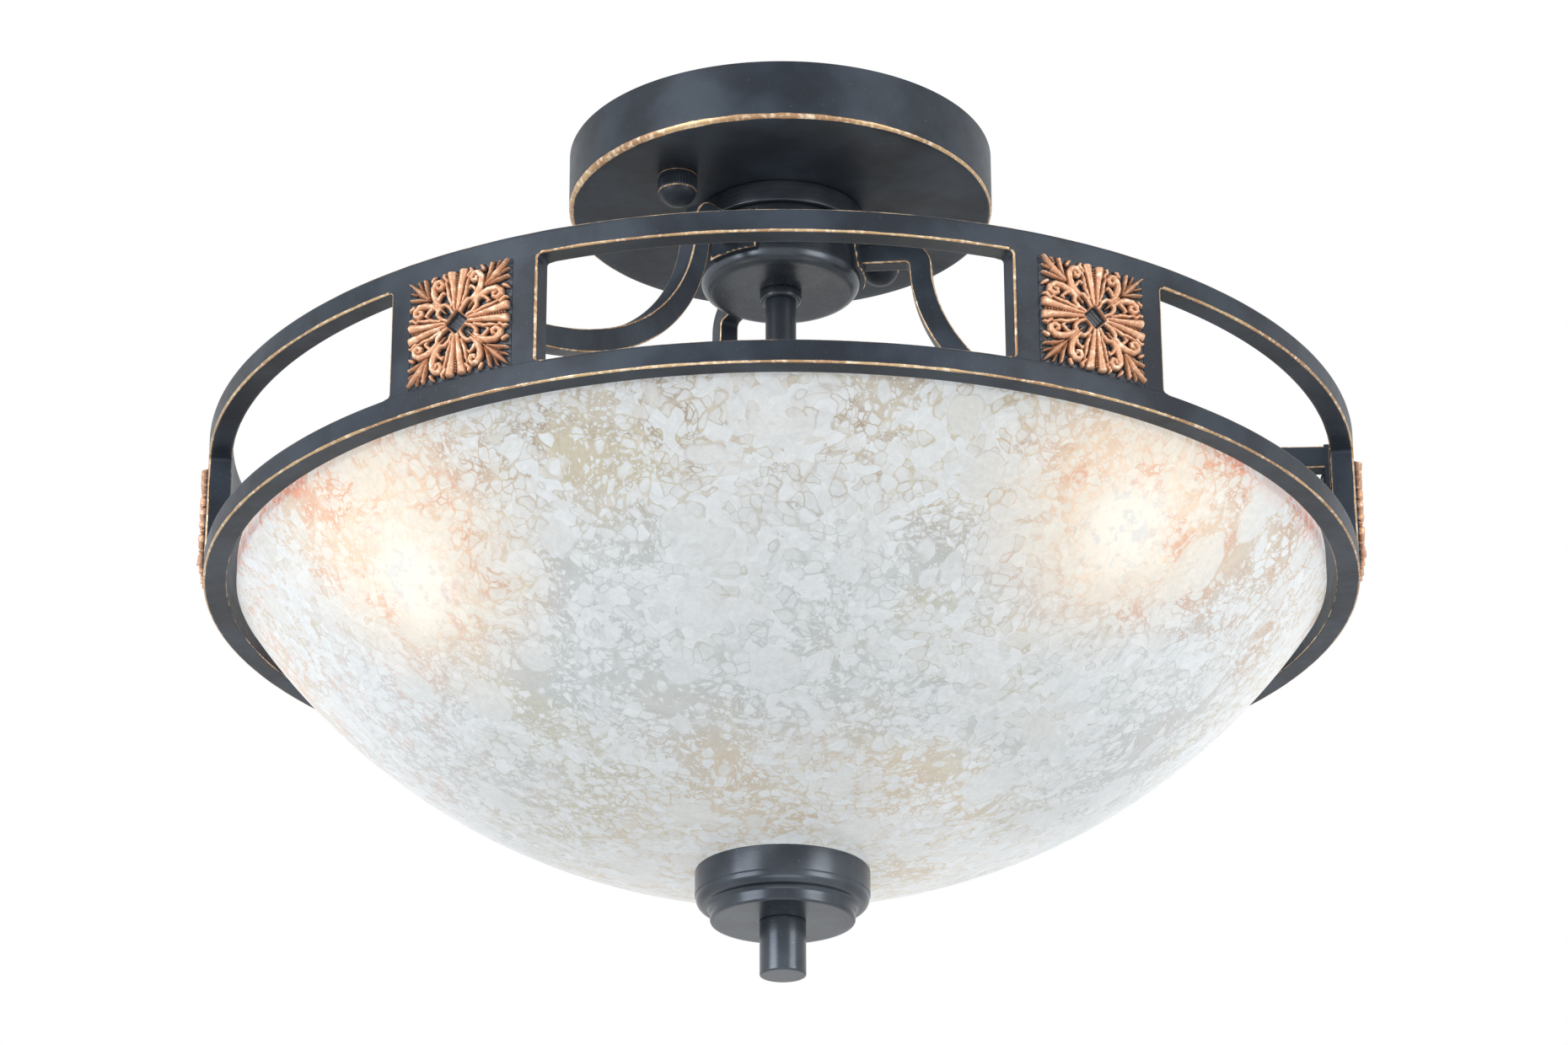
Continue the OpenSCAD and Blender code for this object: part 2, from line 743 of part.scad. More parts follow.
// Screws that hold the arms to the band, with their heads inside it
module ring_screws() {
    color(satin_steel) for (i = [1:arm_count]) rotate([0, 0, arm_angle(i)])
        translate([ring_ri - foot_t, 0, ring_screw_z]) mirror([1, 0, 0]) radial_screw(0, ring_screw_l);
}

// Top hoop of the band
module upper_hoop() {
    color(gunmetal) rotate_extrude($fn = 256) translate([ring_ri, window_top]) square([ring_t, rail_h]);
}

// Bottom hoop of the band
module lower_hoop() {
    color(gunmetal) rotate_extrude($fn = 256) translate([ring_ri, ring_bottom]) square([ring_t, rail_h]);
}

// One post of the band, with the recess for its rosette
module ring_post(i) {
    recess_span = 2 * asin(recess_w / 2 / ring_ro);
    color(gunmetal) difference() {
        rotate([0, 0, post_angle(i) - post_span / 2]) rotate_extrude(angle = post_span, $fn = 256)
            translate([ring_ri, window_bottom]) square([ring_t, window_h]);
        rotate([0, 0, post_angle(i) - recess_span / 2]) rotate_extrude(angle = recess_span, $fn = 256)
            translate([recess_r, window_bottom - past]) square([recess_depth + past, window_h + 2 * past]);
        ring_screw_holes();
    }
}

// Flat leaf along +X: the lens between two arcs
module leaf_shape(start, length, width) {
    arc_r = (length * length + width * width) / (4 * width);
    intersection_for(side = [-1, 1])
        translate([start + length / 2, side * (arc_r - width / 2)]) circle(r = arc_r, $fn = 96);
}

// Raised shape that stands on the rosette plate, from a flat outline
module relief(height) {
    root = 1;
    rotate([90, 0, 90]) translate([0, 0, -root]) linear_extrude(height = height + root) children();
}

// One cast rosette: a curved plate with four petals, four corner leaves, scroll eyes and a boss
module rosette(i) {
    plate_span = 2 * asin(rosette_w / 2 / ring_ro);
    plate_r = recess_r + rosette_t;
    middle = (window_top + window_bottom) / 2;
    low_share = 0.8;
    boss_r = 2.6;
    petal_start = 3.5;
    petal_w = 5.6;
    petal_l = rosette_w / 2 - 5;
    leaf_start = 5.5;
    leaf_w = 5;
    leaf_l = rosette_w / 2 - 2;
    eye_r = 1.8;
    eye_at = [rosette_w / 2 - 4, 5.6];
    color(copper) {
        translate([0, 0, middle - rosette_h / 2]) rotate([0, 0, post_angle(i) - plate_span / 2])
            rotate_extrude(angle = plate_span, $fn = 256)
                translate([recess_r, 0]) square([rosette_t, rosette_h]);
        rotate([0, 0, post_angle(i)]) translate([plate_r, 0, middle]) {
            relief(relief_h) for (k = [0:3]) rotate(90 * k) leaf_shape(petal_start, petal_l, petal_w);
            relief(relief_h * low_share) {
                for (k = [0:3]) rotate(90 * k + 45) leaf_shape(leaf_start, leaf_l, leaf_w);
                for (k = [0:3], side = [-1, 1]) rotate(90 * k) translate([eye_at[0], side * eye_at[1]])
                    circle(r = eye_r, $fn = 32);
                circle(r = boss_r, $fn = 48);
            }
        }
    }
}

// Round housing that carries the three lampholders
module cluster_body() {
    edge = 3;
    color(gunmetal) difference() {
        translate([0, 0, cluster_bottom]) rotate_extrude($fn = 96) difference() {
            pan_section(cluster_r, cluster_h, edge);
            translate([0, cluster_wall]) square([cluster_r - cluster_wall, cluster_h]);
        }
        translate([0, 0, cluster_bottom - past]) cylinder(r = rod_hole_r, h = cluster_wall + 2 * past);
        for (i = [1:lamp_count]) on_lamp_axis(i) translate([0, 0, cluster_r / 2])
            cylinder(r = rod_hole_r, h = cluster_r, $fn = 48);
    }
}

// Lid of the lamp cluster
module cluster_cover() {
    brim = 1;
    color(gunmetal) tube(sleeve_bottom, cluster_cover_t, cluster_r + brim, rod_hole_r);
}

// Short threaded tubes between the cluster and the lampholders
module lamp_nipples() {
    color(zinc) for (i = [1:lamp_count]) on_lamp_axis(i) tube(nipple_end, nipple_l, rod_r, rod_bore / 2);
}

// Ceramic screw lampholder on the axis of lamp i
module lampholder(i) {
    back_r = 11;
    shoulder = holder_start + 7;
    shoulder_l = 5;
    room_r = 8;
    nipple_room = 0.2;
    outside = [
        [0, holder_start], [back_r, holder_start], [back_r, shoulder],
        [holder_d / 2, shoulder + shoulder_l], [holder_d / 2, holder_end], [0, holder_end]
    ];
    color(porcelain) on_lamp_axis(i) difference() {
        rotate_extrude($fn = 96) polygon(outside);
        translate([0, 0, holder_start - past])
            cylinder(r = rod_hole_r, h = nipple_end - holder_start + past + nipple_room);
        translate([0, 0, nipple_end]) cylinder(r = room_r, h = holder_floor - holder_base_t - nipple_end);
        translate([0, 0, holder_floor]) cylinder(r = holder_bore_r, h = holder_l);
    }
}

// Metal screw shells inside the lampholders
module socket_shells() {
    color(brass) for (i = [1:lamp_count]) on_lamp_axis(i)
        tube(shell_end, shell_end - holder_floor, shell_ro, shell_ri);
}

// Centre contacts of the lampholders
module socket_contacts() {
    contact_r = 3;
    color(brass) for (i = [1:lamp_count]) on_lamp_axis(i) translate([0, 0, holder_floor])
        cylinder(r = contact_r, h = contact_t, $fn = 32);
}

// Screw cap of lamp i
module lamp_cap(i) {
    cap_r = lamp_cap_d / 2;
    tip_r = 4.8;
    tip_edge = 1;
    cone_less = 1;
    thread_start = lamp_tip + 4;
    floor_t = 5;
    turns = 6;
    pitch = 3.6;
    groove = 0.5;
    lip_less = 0.5;
    ridges = [for (k = [0:2 * turns]) [cap_r - (k % 2) * groove, thread_start + k * pitch / 2]];
    color(brass) on_lamp_axis(i) rotate_extrude($fn = 64) difference() {
        polygon(concat(
            [[0, lamp_tip], [tip_r, lamp_tip], [tip_r, lamp_tip + tip_edge]],
            [[cap_r - cone_less, thread_start]],
            ridges,
            [[cap_r - lip_less, lamp_cap_end], [0, lamp_cap_end]]
        ));
        translate([0, lamp_tip + floor_t]) square([lamp_neck_r, lamp_cap_l]);
    }
}

// Half section of the lamp bulb, shrunk inwards by inset
module lamp_section(inset) {
    r = lamp_d / 2 - inset;
    neck_r = lamp_neck_r - seat_gap - inset;
    neck_l = 6;
    neck_x = lamp_cap_end - neck_l;
    reach = lamp_globe_x - lamp_cap_end;
    lean_share = 1.25;
    lean = asin((r - neck_r) / reach) * lean_share;
    open_end = neck_x - (inset > 0 ? past : 0);
    intersection() {
        translate([0, lamp_globe_x]) circle(r = r, $fn = 128);
        translate([0, neck_x]) square([lamp_d, lamp_l]);
    }
    polygon([
        [0, open_end], [neck_r, open_end], [neck_r, lamp_cap_end],
        [r * cos(lean), lamp_globe_x - r * sin(lean)], [0, lamp_globe_x]
    ]);
}

// Frosted bulb of lamp i, open inside its cap
module lamp_globe(i) {
    color(frosted_glass) on_lamp_axis(i) rotate_extrude($fn = 96) difference() {
        lamp_section(0);
        lamp_section(lamp_glass);
    }
}

// Steel plate on the rod that the bowl is pulled up against
module stop_plate() {
    color(zinc) tube(stop_bottom + stop_plate_t, stop_plate_t, stop_plate_r, rod_hole_r);
}

// Rubber washer inside the bowl, rounded below to lie on the glass
module upper_gasket() {
    color(clear_rubber) rotate_extrude($fn = 96) intersection() {
        translate([glass_hole_r, bowl_bottom])
            square([upper_gasket_r - glass_hole_r, upper_gasket_top - bowl_bottom]);
        translate([0, bowl_centre_z]) circle(r = bowl_r - glass_t - gasket_gap, $fn = 360);
    }
}

// Glass bowl: a spherical cap with an upright rim
module glass_bowl() {
    overlap = 0.5;
    rim_ri = sqrt(pow(bowl_r - glass_t, 2) - pow(bowl_corner_z - bowl_centre_z, 2));
    color(scavo_glass) rotate_extrude($fn = 180) {
        intersection() {
            translate([0, bowl_centre_z]) difference() {
                circle(r = bowl_r, $fn = 360);
                circle(r = bowl_r - glass_t, $fn = 360);
            }
            translate([glass_hole_r, bowl_bottom - past])
                square([bowl_rim_r - glass_hole_r, bowl_depth + past + overlap]);
        }
        translate([rim_ri, bowl_corner_z]) square([bowl_rim_r - rim_ri, bowl_rim_h]);
    }
}

// Clear ring between the glass and the finial cup
module lower_gasket() {
    color(clear_rubber) rotate_extrude($fn = 96) polygon([
        [lower_gasket_ri, finial_top], [lower_gasket_ro, finial_top],
        [lower_gasket_ro, bowl_outer_z(lower_gasket_ro) - gasket_gap],
        [lower_gasket_ri, bowl_outer_z(lower_gasket_ri) - gasket_gap]
    ]);
}

// Stepped cup under the bowl
module finial_cup() {
    edge = 0.6;
    step_h = 0.2;
    rod_room = 0.4;
    outside = concat(
        [[finial_r, finial_top], [finial_r, finial_top - finial_band_h]],
        [[finial_r - finial_step, finial_top - finial_band_h - step_h]],
        arc([finial_bead_x, finial_bead_top], finial_bead, 0, -90),
        arc([finial_bead_x, finial_foot_top], finial_hollow, 90, 180),
        [[finial_foot_r, finial_bottom + edge], [finial_foot_r - edge, finial_bottom], [0, finial_bottom]]
    );
    inside = [
        [finial_r - finial_wall, finial_top], [finial_r - finial_wall, finial_bead_top],
        [finial_bead_x - finial_wall, finial_bead_top - finial_bead + finial_wall / 2],
        [finial_foot_r - finial_wall, finial_foot_top],
        [finial_foot_r - finial_wall, finial_bottom + finial_wall], [0, finial_bottom + finial_wall]
    ];
    color(satin_steel) difference() {
        rotate_extrude($fn = 128) polygon(concat(outside, [for (k = [len(inside) - 1:-1:0]) inside[k]]));
        translate([0, 0, finial_bottom - past]) cylinder(r = rod_r + rod_room, h = finial_wall + 2 * past);
    }
}

// Turned knob that screws onto the rod's end and holds the bowl up
module finial_knob() {
    edge = 0.5;
    color(satin_steel) difference() {
        translate([0, 0, knob_bottom]) rotate_extrude($fn = 96) pan_section(knob_d / 2, knob_l, edge);
        translate([0, 0, knob_top - knob_bore_l]) cylinder(r = rod_hole_r, h = knob_bore_l + past);
    }
}

mounting_strap();
strap_studs();
strap_nuts();
terminal_block();
block_screw();
earth_screw();
canopy();
cap_nut(-1);  // cap_nut_1
cap_nut(1);  // cap_nut_2
hub_flange();
hub_cup();
rod_collar();
rod_sleeve();
centre_rod();
rod_nuts();
rod_washers();
wiring();
for (i = [1:arm_count]) arm(i);
hub_screws();
ring_screws();
upper_hoop();
lower_hoop();
for (i = [1:post_count]) ring_post(i);
for (i = [1:post_count]) rosette(i);
cluster_body();
cluster_cover();
lamp_nipples();
for (i = [1:lamp_count]) lampholder(i);
socket_shells();
socket_contacts();
for (i = [1:lamp_count]) lamp_cap(i);
for (i = [1:lamp_count]) lamp_globe(i);
stop_plate();
upper_gasket();
glass_bowl();
lower_gasket();
finial_cup();
finial_knob();
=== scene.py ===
"""Looks of a ceiling light: a marbled glass bowl hung inside a windowed ring band."""

from __future__ import annotations

import json
import logging
import math
from dataclasses import dataclass, field
from enum import Enum
from typing import Callable, Sequence

import bmesh
import bpy
import numpy as np
from mathutils import Matrix, Vector


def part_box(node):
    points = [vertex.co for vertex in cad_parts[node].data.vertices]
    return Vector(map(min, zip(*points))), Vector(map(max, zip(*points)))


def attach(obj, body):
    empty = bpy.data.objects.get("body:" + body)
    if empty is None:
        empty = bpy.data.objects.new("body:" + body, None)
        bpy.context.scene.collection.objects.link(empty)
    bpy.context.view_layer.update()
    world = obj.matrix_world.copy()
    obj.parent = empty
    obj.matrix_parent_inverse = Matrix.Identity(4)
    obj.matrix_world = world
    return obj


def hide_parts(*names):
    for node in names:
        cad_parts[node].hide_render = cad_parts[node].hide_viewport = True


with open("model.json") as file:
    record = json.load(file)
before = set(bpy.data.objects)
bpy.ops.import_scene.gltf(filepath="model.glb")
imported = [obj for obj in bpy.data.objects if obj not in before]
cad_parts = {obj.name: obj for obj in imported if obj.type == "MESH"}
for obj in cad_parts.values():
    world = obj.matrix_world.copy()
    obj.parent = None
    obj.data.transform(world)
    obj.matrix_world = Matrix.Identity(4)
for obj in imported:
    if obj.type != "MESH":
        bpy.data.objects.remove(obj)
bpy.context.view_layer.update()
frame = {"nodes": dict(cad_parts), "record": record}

LOG = logging.getLogger("ceiling_light")
MM = 0.001
FULL_TURN = 2 * math.pi

Colour = tuple[float, float, float]
Corner = tuple[float, float, float]
Pair = tuple[float, float]
Socket = bpy.types.NodeSocket
Finish = bpy.types.Material
Link = Socket | float | Sequence[float]
Array = np.ndarray
Measure = Callable[[Array, Array, Array], Array]

WHITE: Colour = (1.0, 1.0, 1.0)
SHARP = 35.0


class Body(Enum):
    """Bodies that pieces ride on."""

    FIXTURE = "fixture"
    BOWL = "bowl"
    KNOB = "knob"
    BULB_1 = "bulb_1"
    BULB_2 = "bulb_2"
    BULB_3 = "bulb_3"
    NUT_1 = "nut_1"
    NUT_2 = "nut_2"


def srgb(code: str) -> Colour:
    """Turns a colour written as six hex digits into linear light.

    Args:
        code: The colour, such as "3d444f".

    Returns:
        Linear red, green and blue.
    """
    parts = [int(code[k : k + 2], 16) / 255 for k in (0, 2, 4)]
    return tuple(c / 12.92 if c <= 0.04045 else ((c + 0.055) / 1.055) ** 2.4 for c in parts)


@dataclass(frozen=True)
class Extent:
    """What a CAD node measures round the Z axis, in millimetres."""

    inner: float
    outer: float
    bottom: float
    top: float

    @classmethod
    def of(cls, node: str) -> Extent:
        """Measures one node.

        Args:
            node: Name of the CAD node.

        Returns:
            Its least and greatest radius, and its lowest and highest level.
        """
        mesh = frame["nodes"][node].data
        flat = np.zeros(len(mesh.vertices) * 3, np.float32)
        mesh.vertices.foreach_get("co", flat)
        spots = flat.reshape(-1, 3) / MM
        radii = np.hypot(spots[:, 0], spots[:, 1])
        return cls(float(radii.min()), float(radii.max()), float(spots[:, 2].min()), float(spots[:, 2].max()))


def corners_of(node: str) -> tuple[Array, Array]:
    """Gives the lowest and the highest corner of a CAD node's box, in millimetres."""
    low, high = (np.array(corner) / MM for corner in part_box(node))
    return low, high


def add_object(name: str, data: bpy.types.ID) -> bpy.types.Object:
    """Puts a new object with this data in the scene."""
    made = bpy.data.objects.new(name, data)
    bpy.context.scene.collection.objects.link(made)
    return made


def seen_rays(tree: bpy.types.NodeTree) -> Socket:
    """Gives 1 on the rays that show the background: the camera's, and those off metal or through glass.

    Args:
        tree: The tree that gets the nodes.

    Returns:
        The share, 0 or 1.
    """
    path = tree.nodes.new("ShaderNodeLightPath")
    rays = path.outputs["Is Camera Ray"]
    for name in ("Is Glossy Ray", "Is Transmission Ray"):
        most = tree.nodes.new("ShaderNodeMath")
        most.operation = "MAXIMUM"
        tree.links.new(rays, most.inputs[0])
        tree.links.new(path.outputs[name], most.inputs[1])
        rays = most.outputs[0]
    return rays


@dataclass(frozen=True)
class Noise:
    """Noise of one size: features in each millimetre, finer octaves and their share."""

    per_mm: float
    detail: float = 2.0
    rough: float = 0.5


@dataclass(frozen=True)
class Patches:
    """Cloudy patches: a noise, and its values where a patch starts and where it is full."""

    noise: Noise
    start: float
    full: float


class Graph:
    """Makes and joins the nodes of one material."""

    def __init__(self, name: str) -> None:
        """Starts an empty material.

        Args:
            name: Name of the material.
        """
        self.material = bpy.data.materials.new(name)
        self.material.use_nodes = True
        self.tree = self.material.node_tree
        self.tree.nodes.clear()
        place = self.tree.nodes.new("ShaderNodeTexCoord").outputs["Object"]
        self.place = self.vector("SCALE", place, scale=1 / MM)

    def node(self, kind: str, **settings: object) -> bpy.types.Node:
        """Adds one node and sets its own properties."""
        made = self.tree.nodes.new(kind)
        for name, value in settings.items():
            setattr(made, name, value)
        return made

    def feed(self, socket: Socket, value: Link) -> None:
        """Links a socket to another one, or sets its value.

        Args:
            socket: The socket that is fed.
            value: Another node's output, or a value.
        """
        if isinstance(value, bpy.types.NodeSocket):
            self.tree.links.new(value, socket)
        elif socket.type == "RGBA":
            socket.default_value = (*value, 1.0)
        else:
            socket.default_value = value

    def made(self, kind: str, given: dict[str | int, Link], out: str | int = 0, **settings: object) -> Socket:
        """Adds one node and feeds it.

        Args:
            kind: Type of the node.
            given: Value or link of each socket, by its name or index.
            out: The output that is wanted.
            **settings: The node's own properties.

        Returns:
            The output.
        """
        made = self.node(kind, **settings)
        for socket, value in given.items():
            self.feed(made.inputs[socket], value)
        return made.outputs[out]

    def math(self, job: str, *values: Link) -> Socket:
        """Adds a math node."""
        return self.made("ShaderNodeMath", dict(enumerate(values)), operation=job)

    def times(self, a: Link, b: Link) -> Socket:
        """Multiplies two numbers."""
        return self.math("MULTIPLY", a, b)

    def line(self, a: Link, slope: Link, start: Link) -> Socket:
        """Multiplies a number by a slope and adds a start."""
        return self.math("MULTIPLY_ADD", a, slope, start)

    def most(self, a: Link, b: Link) -> Socket:
        """Gives the larger of two numbers."""
        return self.math("MAXIMUM", a, b)

    def vector(self, job: str, a: Link, b: Link | None = None, scale: float = 1.0) -> Socket:
        """Adds a vector math node and gives its vector, or its value where the job has one.

        Args:
            job: The node's operation.
            a: The first vector.
            b: The second vector, or one number for its three parts; none if left out.
            scale: Factor of the SCALE job.

        Returns:
            The node's output.
        """
        given: dict[str | int, Link] = {0: a}
        if b is not None:
            given[1] = (b, b, b) if isinstance(b, float) else b
        if job == "SCALE":
            given["Scale"] = scale
        out = "Value" if job in ("LENGTH", "DISTANCE") else "Vector"
        return self.made("ShaderNodeVectorMath", given, out, operation=job)

    def axes(self) -> tuple[Socket, Socket, Socket]:
        """Gives the three parts of the place, in millimetres."""
        split = self.node("ShaderNodeSeparateXYZ")
        self.feed(split.inputs[0], self.place)
        return split.outputs["X"], split.outputs["Y"], split.outputs["Z"]

    def flat(self, x: Link, y: Link) -> Socket:
        """Joins two numbers to a place."""
        return self.made("ShaderNodeCombineXYZ", {0: x, 1: y})

    def noise(self, kind: Noise, at: Link | None = None, colour: bool = False) -> Socket:
        """Adds a noise texture.

        Args:
            kind: The size and detail of the noise.
            at: Where it is read, in millimetres; the object's own place if left out.
            colour: True for three values in place of one.

        Returns:
            The noise, about 0.5 in the mean.
        """
        given = {"Vector": self.place if at is None else at, "Scale": kind.per_mm, "Detail": kind.detail}
        return self.made("ShaderNodeTexNoise", {**given, "Roughness": kind.rough}, "Color" if colour else 0)

    def patches(self, kind: Patches) -> Socket:
        """Gives the share of each place that cloudy patches cover."""
        return self.step(self.noise(kind.noise), (kind.start, kind.full))

    def cells(self, per_mm: float, at: Link, feature: str = "F1") -> bpy.types.Node:
        """Adds a cell texture and gives its node."""
        made = self.node("ShaderNodeTexVoronoi", feature=feature)
        self.feed(made.inputs["Vector"], at)
        made.inputs["Scale"].default_value = per_mm
        return made

    def red(self, colour: Link) -> Socket:
        """Gives the first part of a colour."""
        return self.made("ShaderNodeSeparateColor", {0: colour})

    def step(self, value: Link, ends: Pair) -> Socket:
        """Rises smoothly from 0 to 1 between the two ends, or falls where the first is the larger.

        Args:
            value: The number that is read.
            ends: Its values where the result is 0 and 1.

        Returns:
            A number from 0 to 1.
        """
        up = ends[0] < ends[1]
        given = {"Value": value, "From Min": min(ends), "From Max": max(ends)}
        given |= {"To Min": 0.0 if up else 1.0, "To Max": 1.0 if up else 0.0}
        return self.made("ShaderNodeMapRange", given, "Result", interpolation_type="SMOOTHSTEP")

    def blend(self, share: Link, ends: Pair) -> Socket:
        """Mixes two numbers."""
        given = {"Value": share, "To Min": ends[0], "To Max": ends[1]}
        return self.made("ShaderNodeMapRange", given, "Result")

    def mix(self, share: Link, a: Link, b: Link, way: str = "MIX") -> Socket:
        """Mixes two colours."""
        given = {"Factor": share, 6: a, 7: b}
        return self.made("ShaderNodeMix", given, 2, data_type="RGBA", blend_type=way)

    def tint(self, a: Link, b: Link) -> Socket:
        """Multiplies two colours."""
        return self.mix(1.0, a, b, "MULTIPLY")

    def lay(self, share: Link, below: Link, above: Link) -> Socket:
        """Lays one number over another where the share is 1."""
        return self.made("ShaderNodeMix", {0: share, 2: below, 3: above}, data_type="FLOAT")

    def attribute(self, name: str) -> Socket:
        """Reads a number that the mesh carries."""
        return self.made("ShaderNodeAttribute", {}, "Fac", attribute_name=name)

    def bump(self, height: Link, rise_mm: float, strength: float = 1.0) -> Socket:
        """Adds a bump whose height runs from 0 to 1 over rise_mm."""
        given = {"Strength": strength, "Distance": rise_mm * MM, "Height": height}
        return self.made("ShaderNodeBump", given, "Normal")

    def finish(self, **sockets: Link) -> Finish:
        """Adds the surface shader and the output.

        Args:
            **sockets: Values of the shader's sockets, with an underscore in place of each blank.

        Returns:
            The finished material.
        """
        given = {name.replace("_", " "): value for name, value in sockets.items()}
        shader = self.made("ShaderNodeBsdfPrincipled", given)
        output = self.node("ShaderNodeOutputMaterial")
        self.tree.links.new(shader, output.inputs["Surface"])
        return self.material


@dataclass(frozen=True)
class Slate:
    """Slate coat with cloudy tones and small pale flecks."""

    name: str
    dark: Colour = srgb("232932")
    light: Colour = srgb("363f4a")
    fleck: Colour = srgb("5b6570")
    lights: Patches = Patches(Noise(0.035, 3), 0.35, 0.68)
    flecks: Patches = Patches(Noise(0.9), 0.66, 0.76)
    fleck_share: float = 0.3

    def coat(self, g: Graph) -> Link:
        """Gives the colour of the coat."""
        coat = g.mix(g.patches(self.lights), self.dark, self.light)
        return g.mix(g.times(g.patches(self.flecks), self.fleck_share), coat, self.fleck)


@dataclass(frozen=True)
class Lacquer(Slate):
    """Satin slate lacquer, rubbed back to copper where the wear attribute is low; pale cream patches on the
    bare copper are partly paler metal and partly painted highlight.
    """

    worn: bool = True
    copper: Colour = srgb("ae8a68")
    gold: Colour = srgb("c8aa82")
    # Pale cream on the bare copper: partly paler metal, partly painted highlight.
    pale: Colour = srgb("f2e0c6")
    golds: Patches = Patches(Noise(0.03), 0.4, 0.6)
    sheen_patches: Patches = Patches(Noise(0.5, 3), 0.45, 0.75)
    peel: Noise = Noise(1.3)
    gloss: Noise = Noise(0.2)
    ragged: tuple[tuple[Noise, float], ...] = ((Noise(0.1), 0.8), (Noise(1.4), 0.25))
    bare_ends: Pair = (1.55, 1.3)
    roughness: Pair = (0.36, 0.5)
    metallic: Pair = (0.15, 0.4)
    specular: float = 0.25
    peel_mm: float = 0.03
    worn_mm: float = 0.04
    worn_depth: float = 0.6
    worn_gloss: float = 0.06

    def material(self) -> Finish:
        """Builds the finish."""
        g = Graph(self.name)
        coat = self.coat(g)
        peel = g.noise(self.peel)
        rough = g.blend(g.noise(self.gloss), self.roughness)
        if not self.worn:
            return g.finish(Base_Color=coat, Roughness=rough, Metallic=self.metallic[0],
                            Specular_IOR_Level=self.specular, Normal=g.bump(peel, self.peel_mm))
        wear = g.attribute("wear")
        for noise, share in self.ragged:
            wear = g.line(g.noise(noise), share, wear)
        bare = g.step(wear, self.bare_ends)
        metal = g.mix(g.patches(self.golds), self.copper, self.gold)
        # Pale cream patches on the bare copper: partly paler metal, partly painted highlight.
        metal = g.mix(g.patches(self.sheen_patches), metal, self.pale)
        relief = g.line(bare, -self.worn_depth, peel)
        return g.finish(Base_Color=g.mix(bare, coat, metal), Roughness=g.line(bare, -self.worn_gloss, rough),
                        Metallic=g.blend(bare, self.metallic), Specular_IOR_Level=self.specular,
                        Normal=g.bump(relief, self.worn_mm))


@dataclass(frozen=True)
class SpunSteel(Slate):
    """Smooth satin slate plating on turned pieces, with faint rings from the lathe."""

    dark: Colour = srgb("353b44")
    light: Colour = srgb("4a5159")
    fleck: Colour = srgb("8a939b")
    lights: Patches = Patches(Noise(0.06), 0.3, 0.7)
    flecks: Patches = Patches(Noise(0.8), 0.7, 0.78)
    fleck_share: float = 0.25
    rings: Noise = Noise(2.2, 3, 0.6)
    ring_mm: float = 0.012
    ring_gloss: float = 0.12
    roughness: float = 0.21
    metallic: float = 0.55

    def material(self) -> Finish:
        """Builds the finish."""
        g = Graph(self.name)
        x, y, z = g.axes()
        rings = g.noise(self.rings, g.flat(g.vector("LENGTH", g.flat(x, y)), z))
        return g.finish(Base_Color=self.coat(g), Metallic=self.metallic, Normal=g.bump(rings, self.ring_mm),
                        Roughness=g.line(rings, self.ring_gloss, self.roughness))


@dataclass(frozen=True)
class RubbedRelief:
    """Cast ornament: dark in its hollows, copper on what stands up, with painted highlights: brighter copper
    higher up and pale cream on its tops.
    """

    name: str
    hollow: Colour = srgb("252c36")
    copper: Colour = srgb("a87a5c")
    # Colours of the painted highlights: brighter copper higher up, pale cream on the tops.
    bright: Colour = srgb("d9a887")
    pale: Colour = srgb("f6e0c4")
    ragged: Noise = Noise(0.9, 3, 0.6)
    ragged_share: float = 0.34
    bare_ends: Pair = (0.36, 0.58)
    # Heights where the painted highlights start and are full.
    highlight_ends: Pair = (0.55, 0.95)
    top_highlight_ends: Pair = (0.6, 1.0)
    sheen_patches: Patches = Patches(Noise(0.35), 0.5, 0.72)
    gloss: Noise = Noise(1.0)
    grain: Noise = Noise(2.0, 3)
    grain_mm: float = 0.08
    roughness: Pair = (0.34, 0.5)
    metallic: Pair = (0.1, 0.4)

    def material(self) -> Finish:
        """Builds the finish."""
        g = Graph(self.name)
        height = g.line(g.noise(self.ragged), self.ragged_share, g.attribute("relief"))
        bare = g.step(height, self.bare_ends)
        # Painted highlights: the copper turns brighter with height, and pale cream on the highest tops.
        metal = g.mix(g.step(height, self.highlight_ends), self.copper, self.bright)
        metal = g.mix(g.times(g.patches(self.sheen_patches), g.step(height, self.top_highlight_ends)), metal, self.pale)
        return g.finish(Base_Color=g.mix(bare, self.hollow, metal), Metallic=g.blend(bare, self.metallic),
                        Roughness=g.blend(g.noise(self.gloss), self.roughness),
                        Normal=g.bump(g.noise(self.grain), self.grain_mm))


@dataclass(frozen=True)
class Drops:
    """White drops of one size in the marbled glass."""

    size: float
    least: float
    spread: float
    power: float


@dataclass(frozen=True)
class Pebbles:
    """Lumps of frit of one size, in millimetres, with thin veins between them."""

    size: float
    line: float
    strength: float
    spread: float
    tone: float


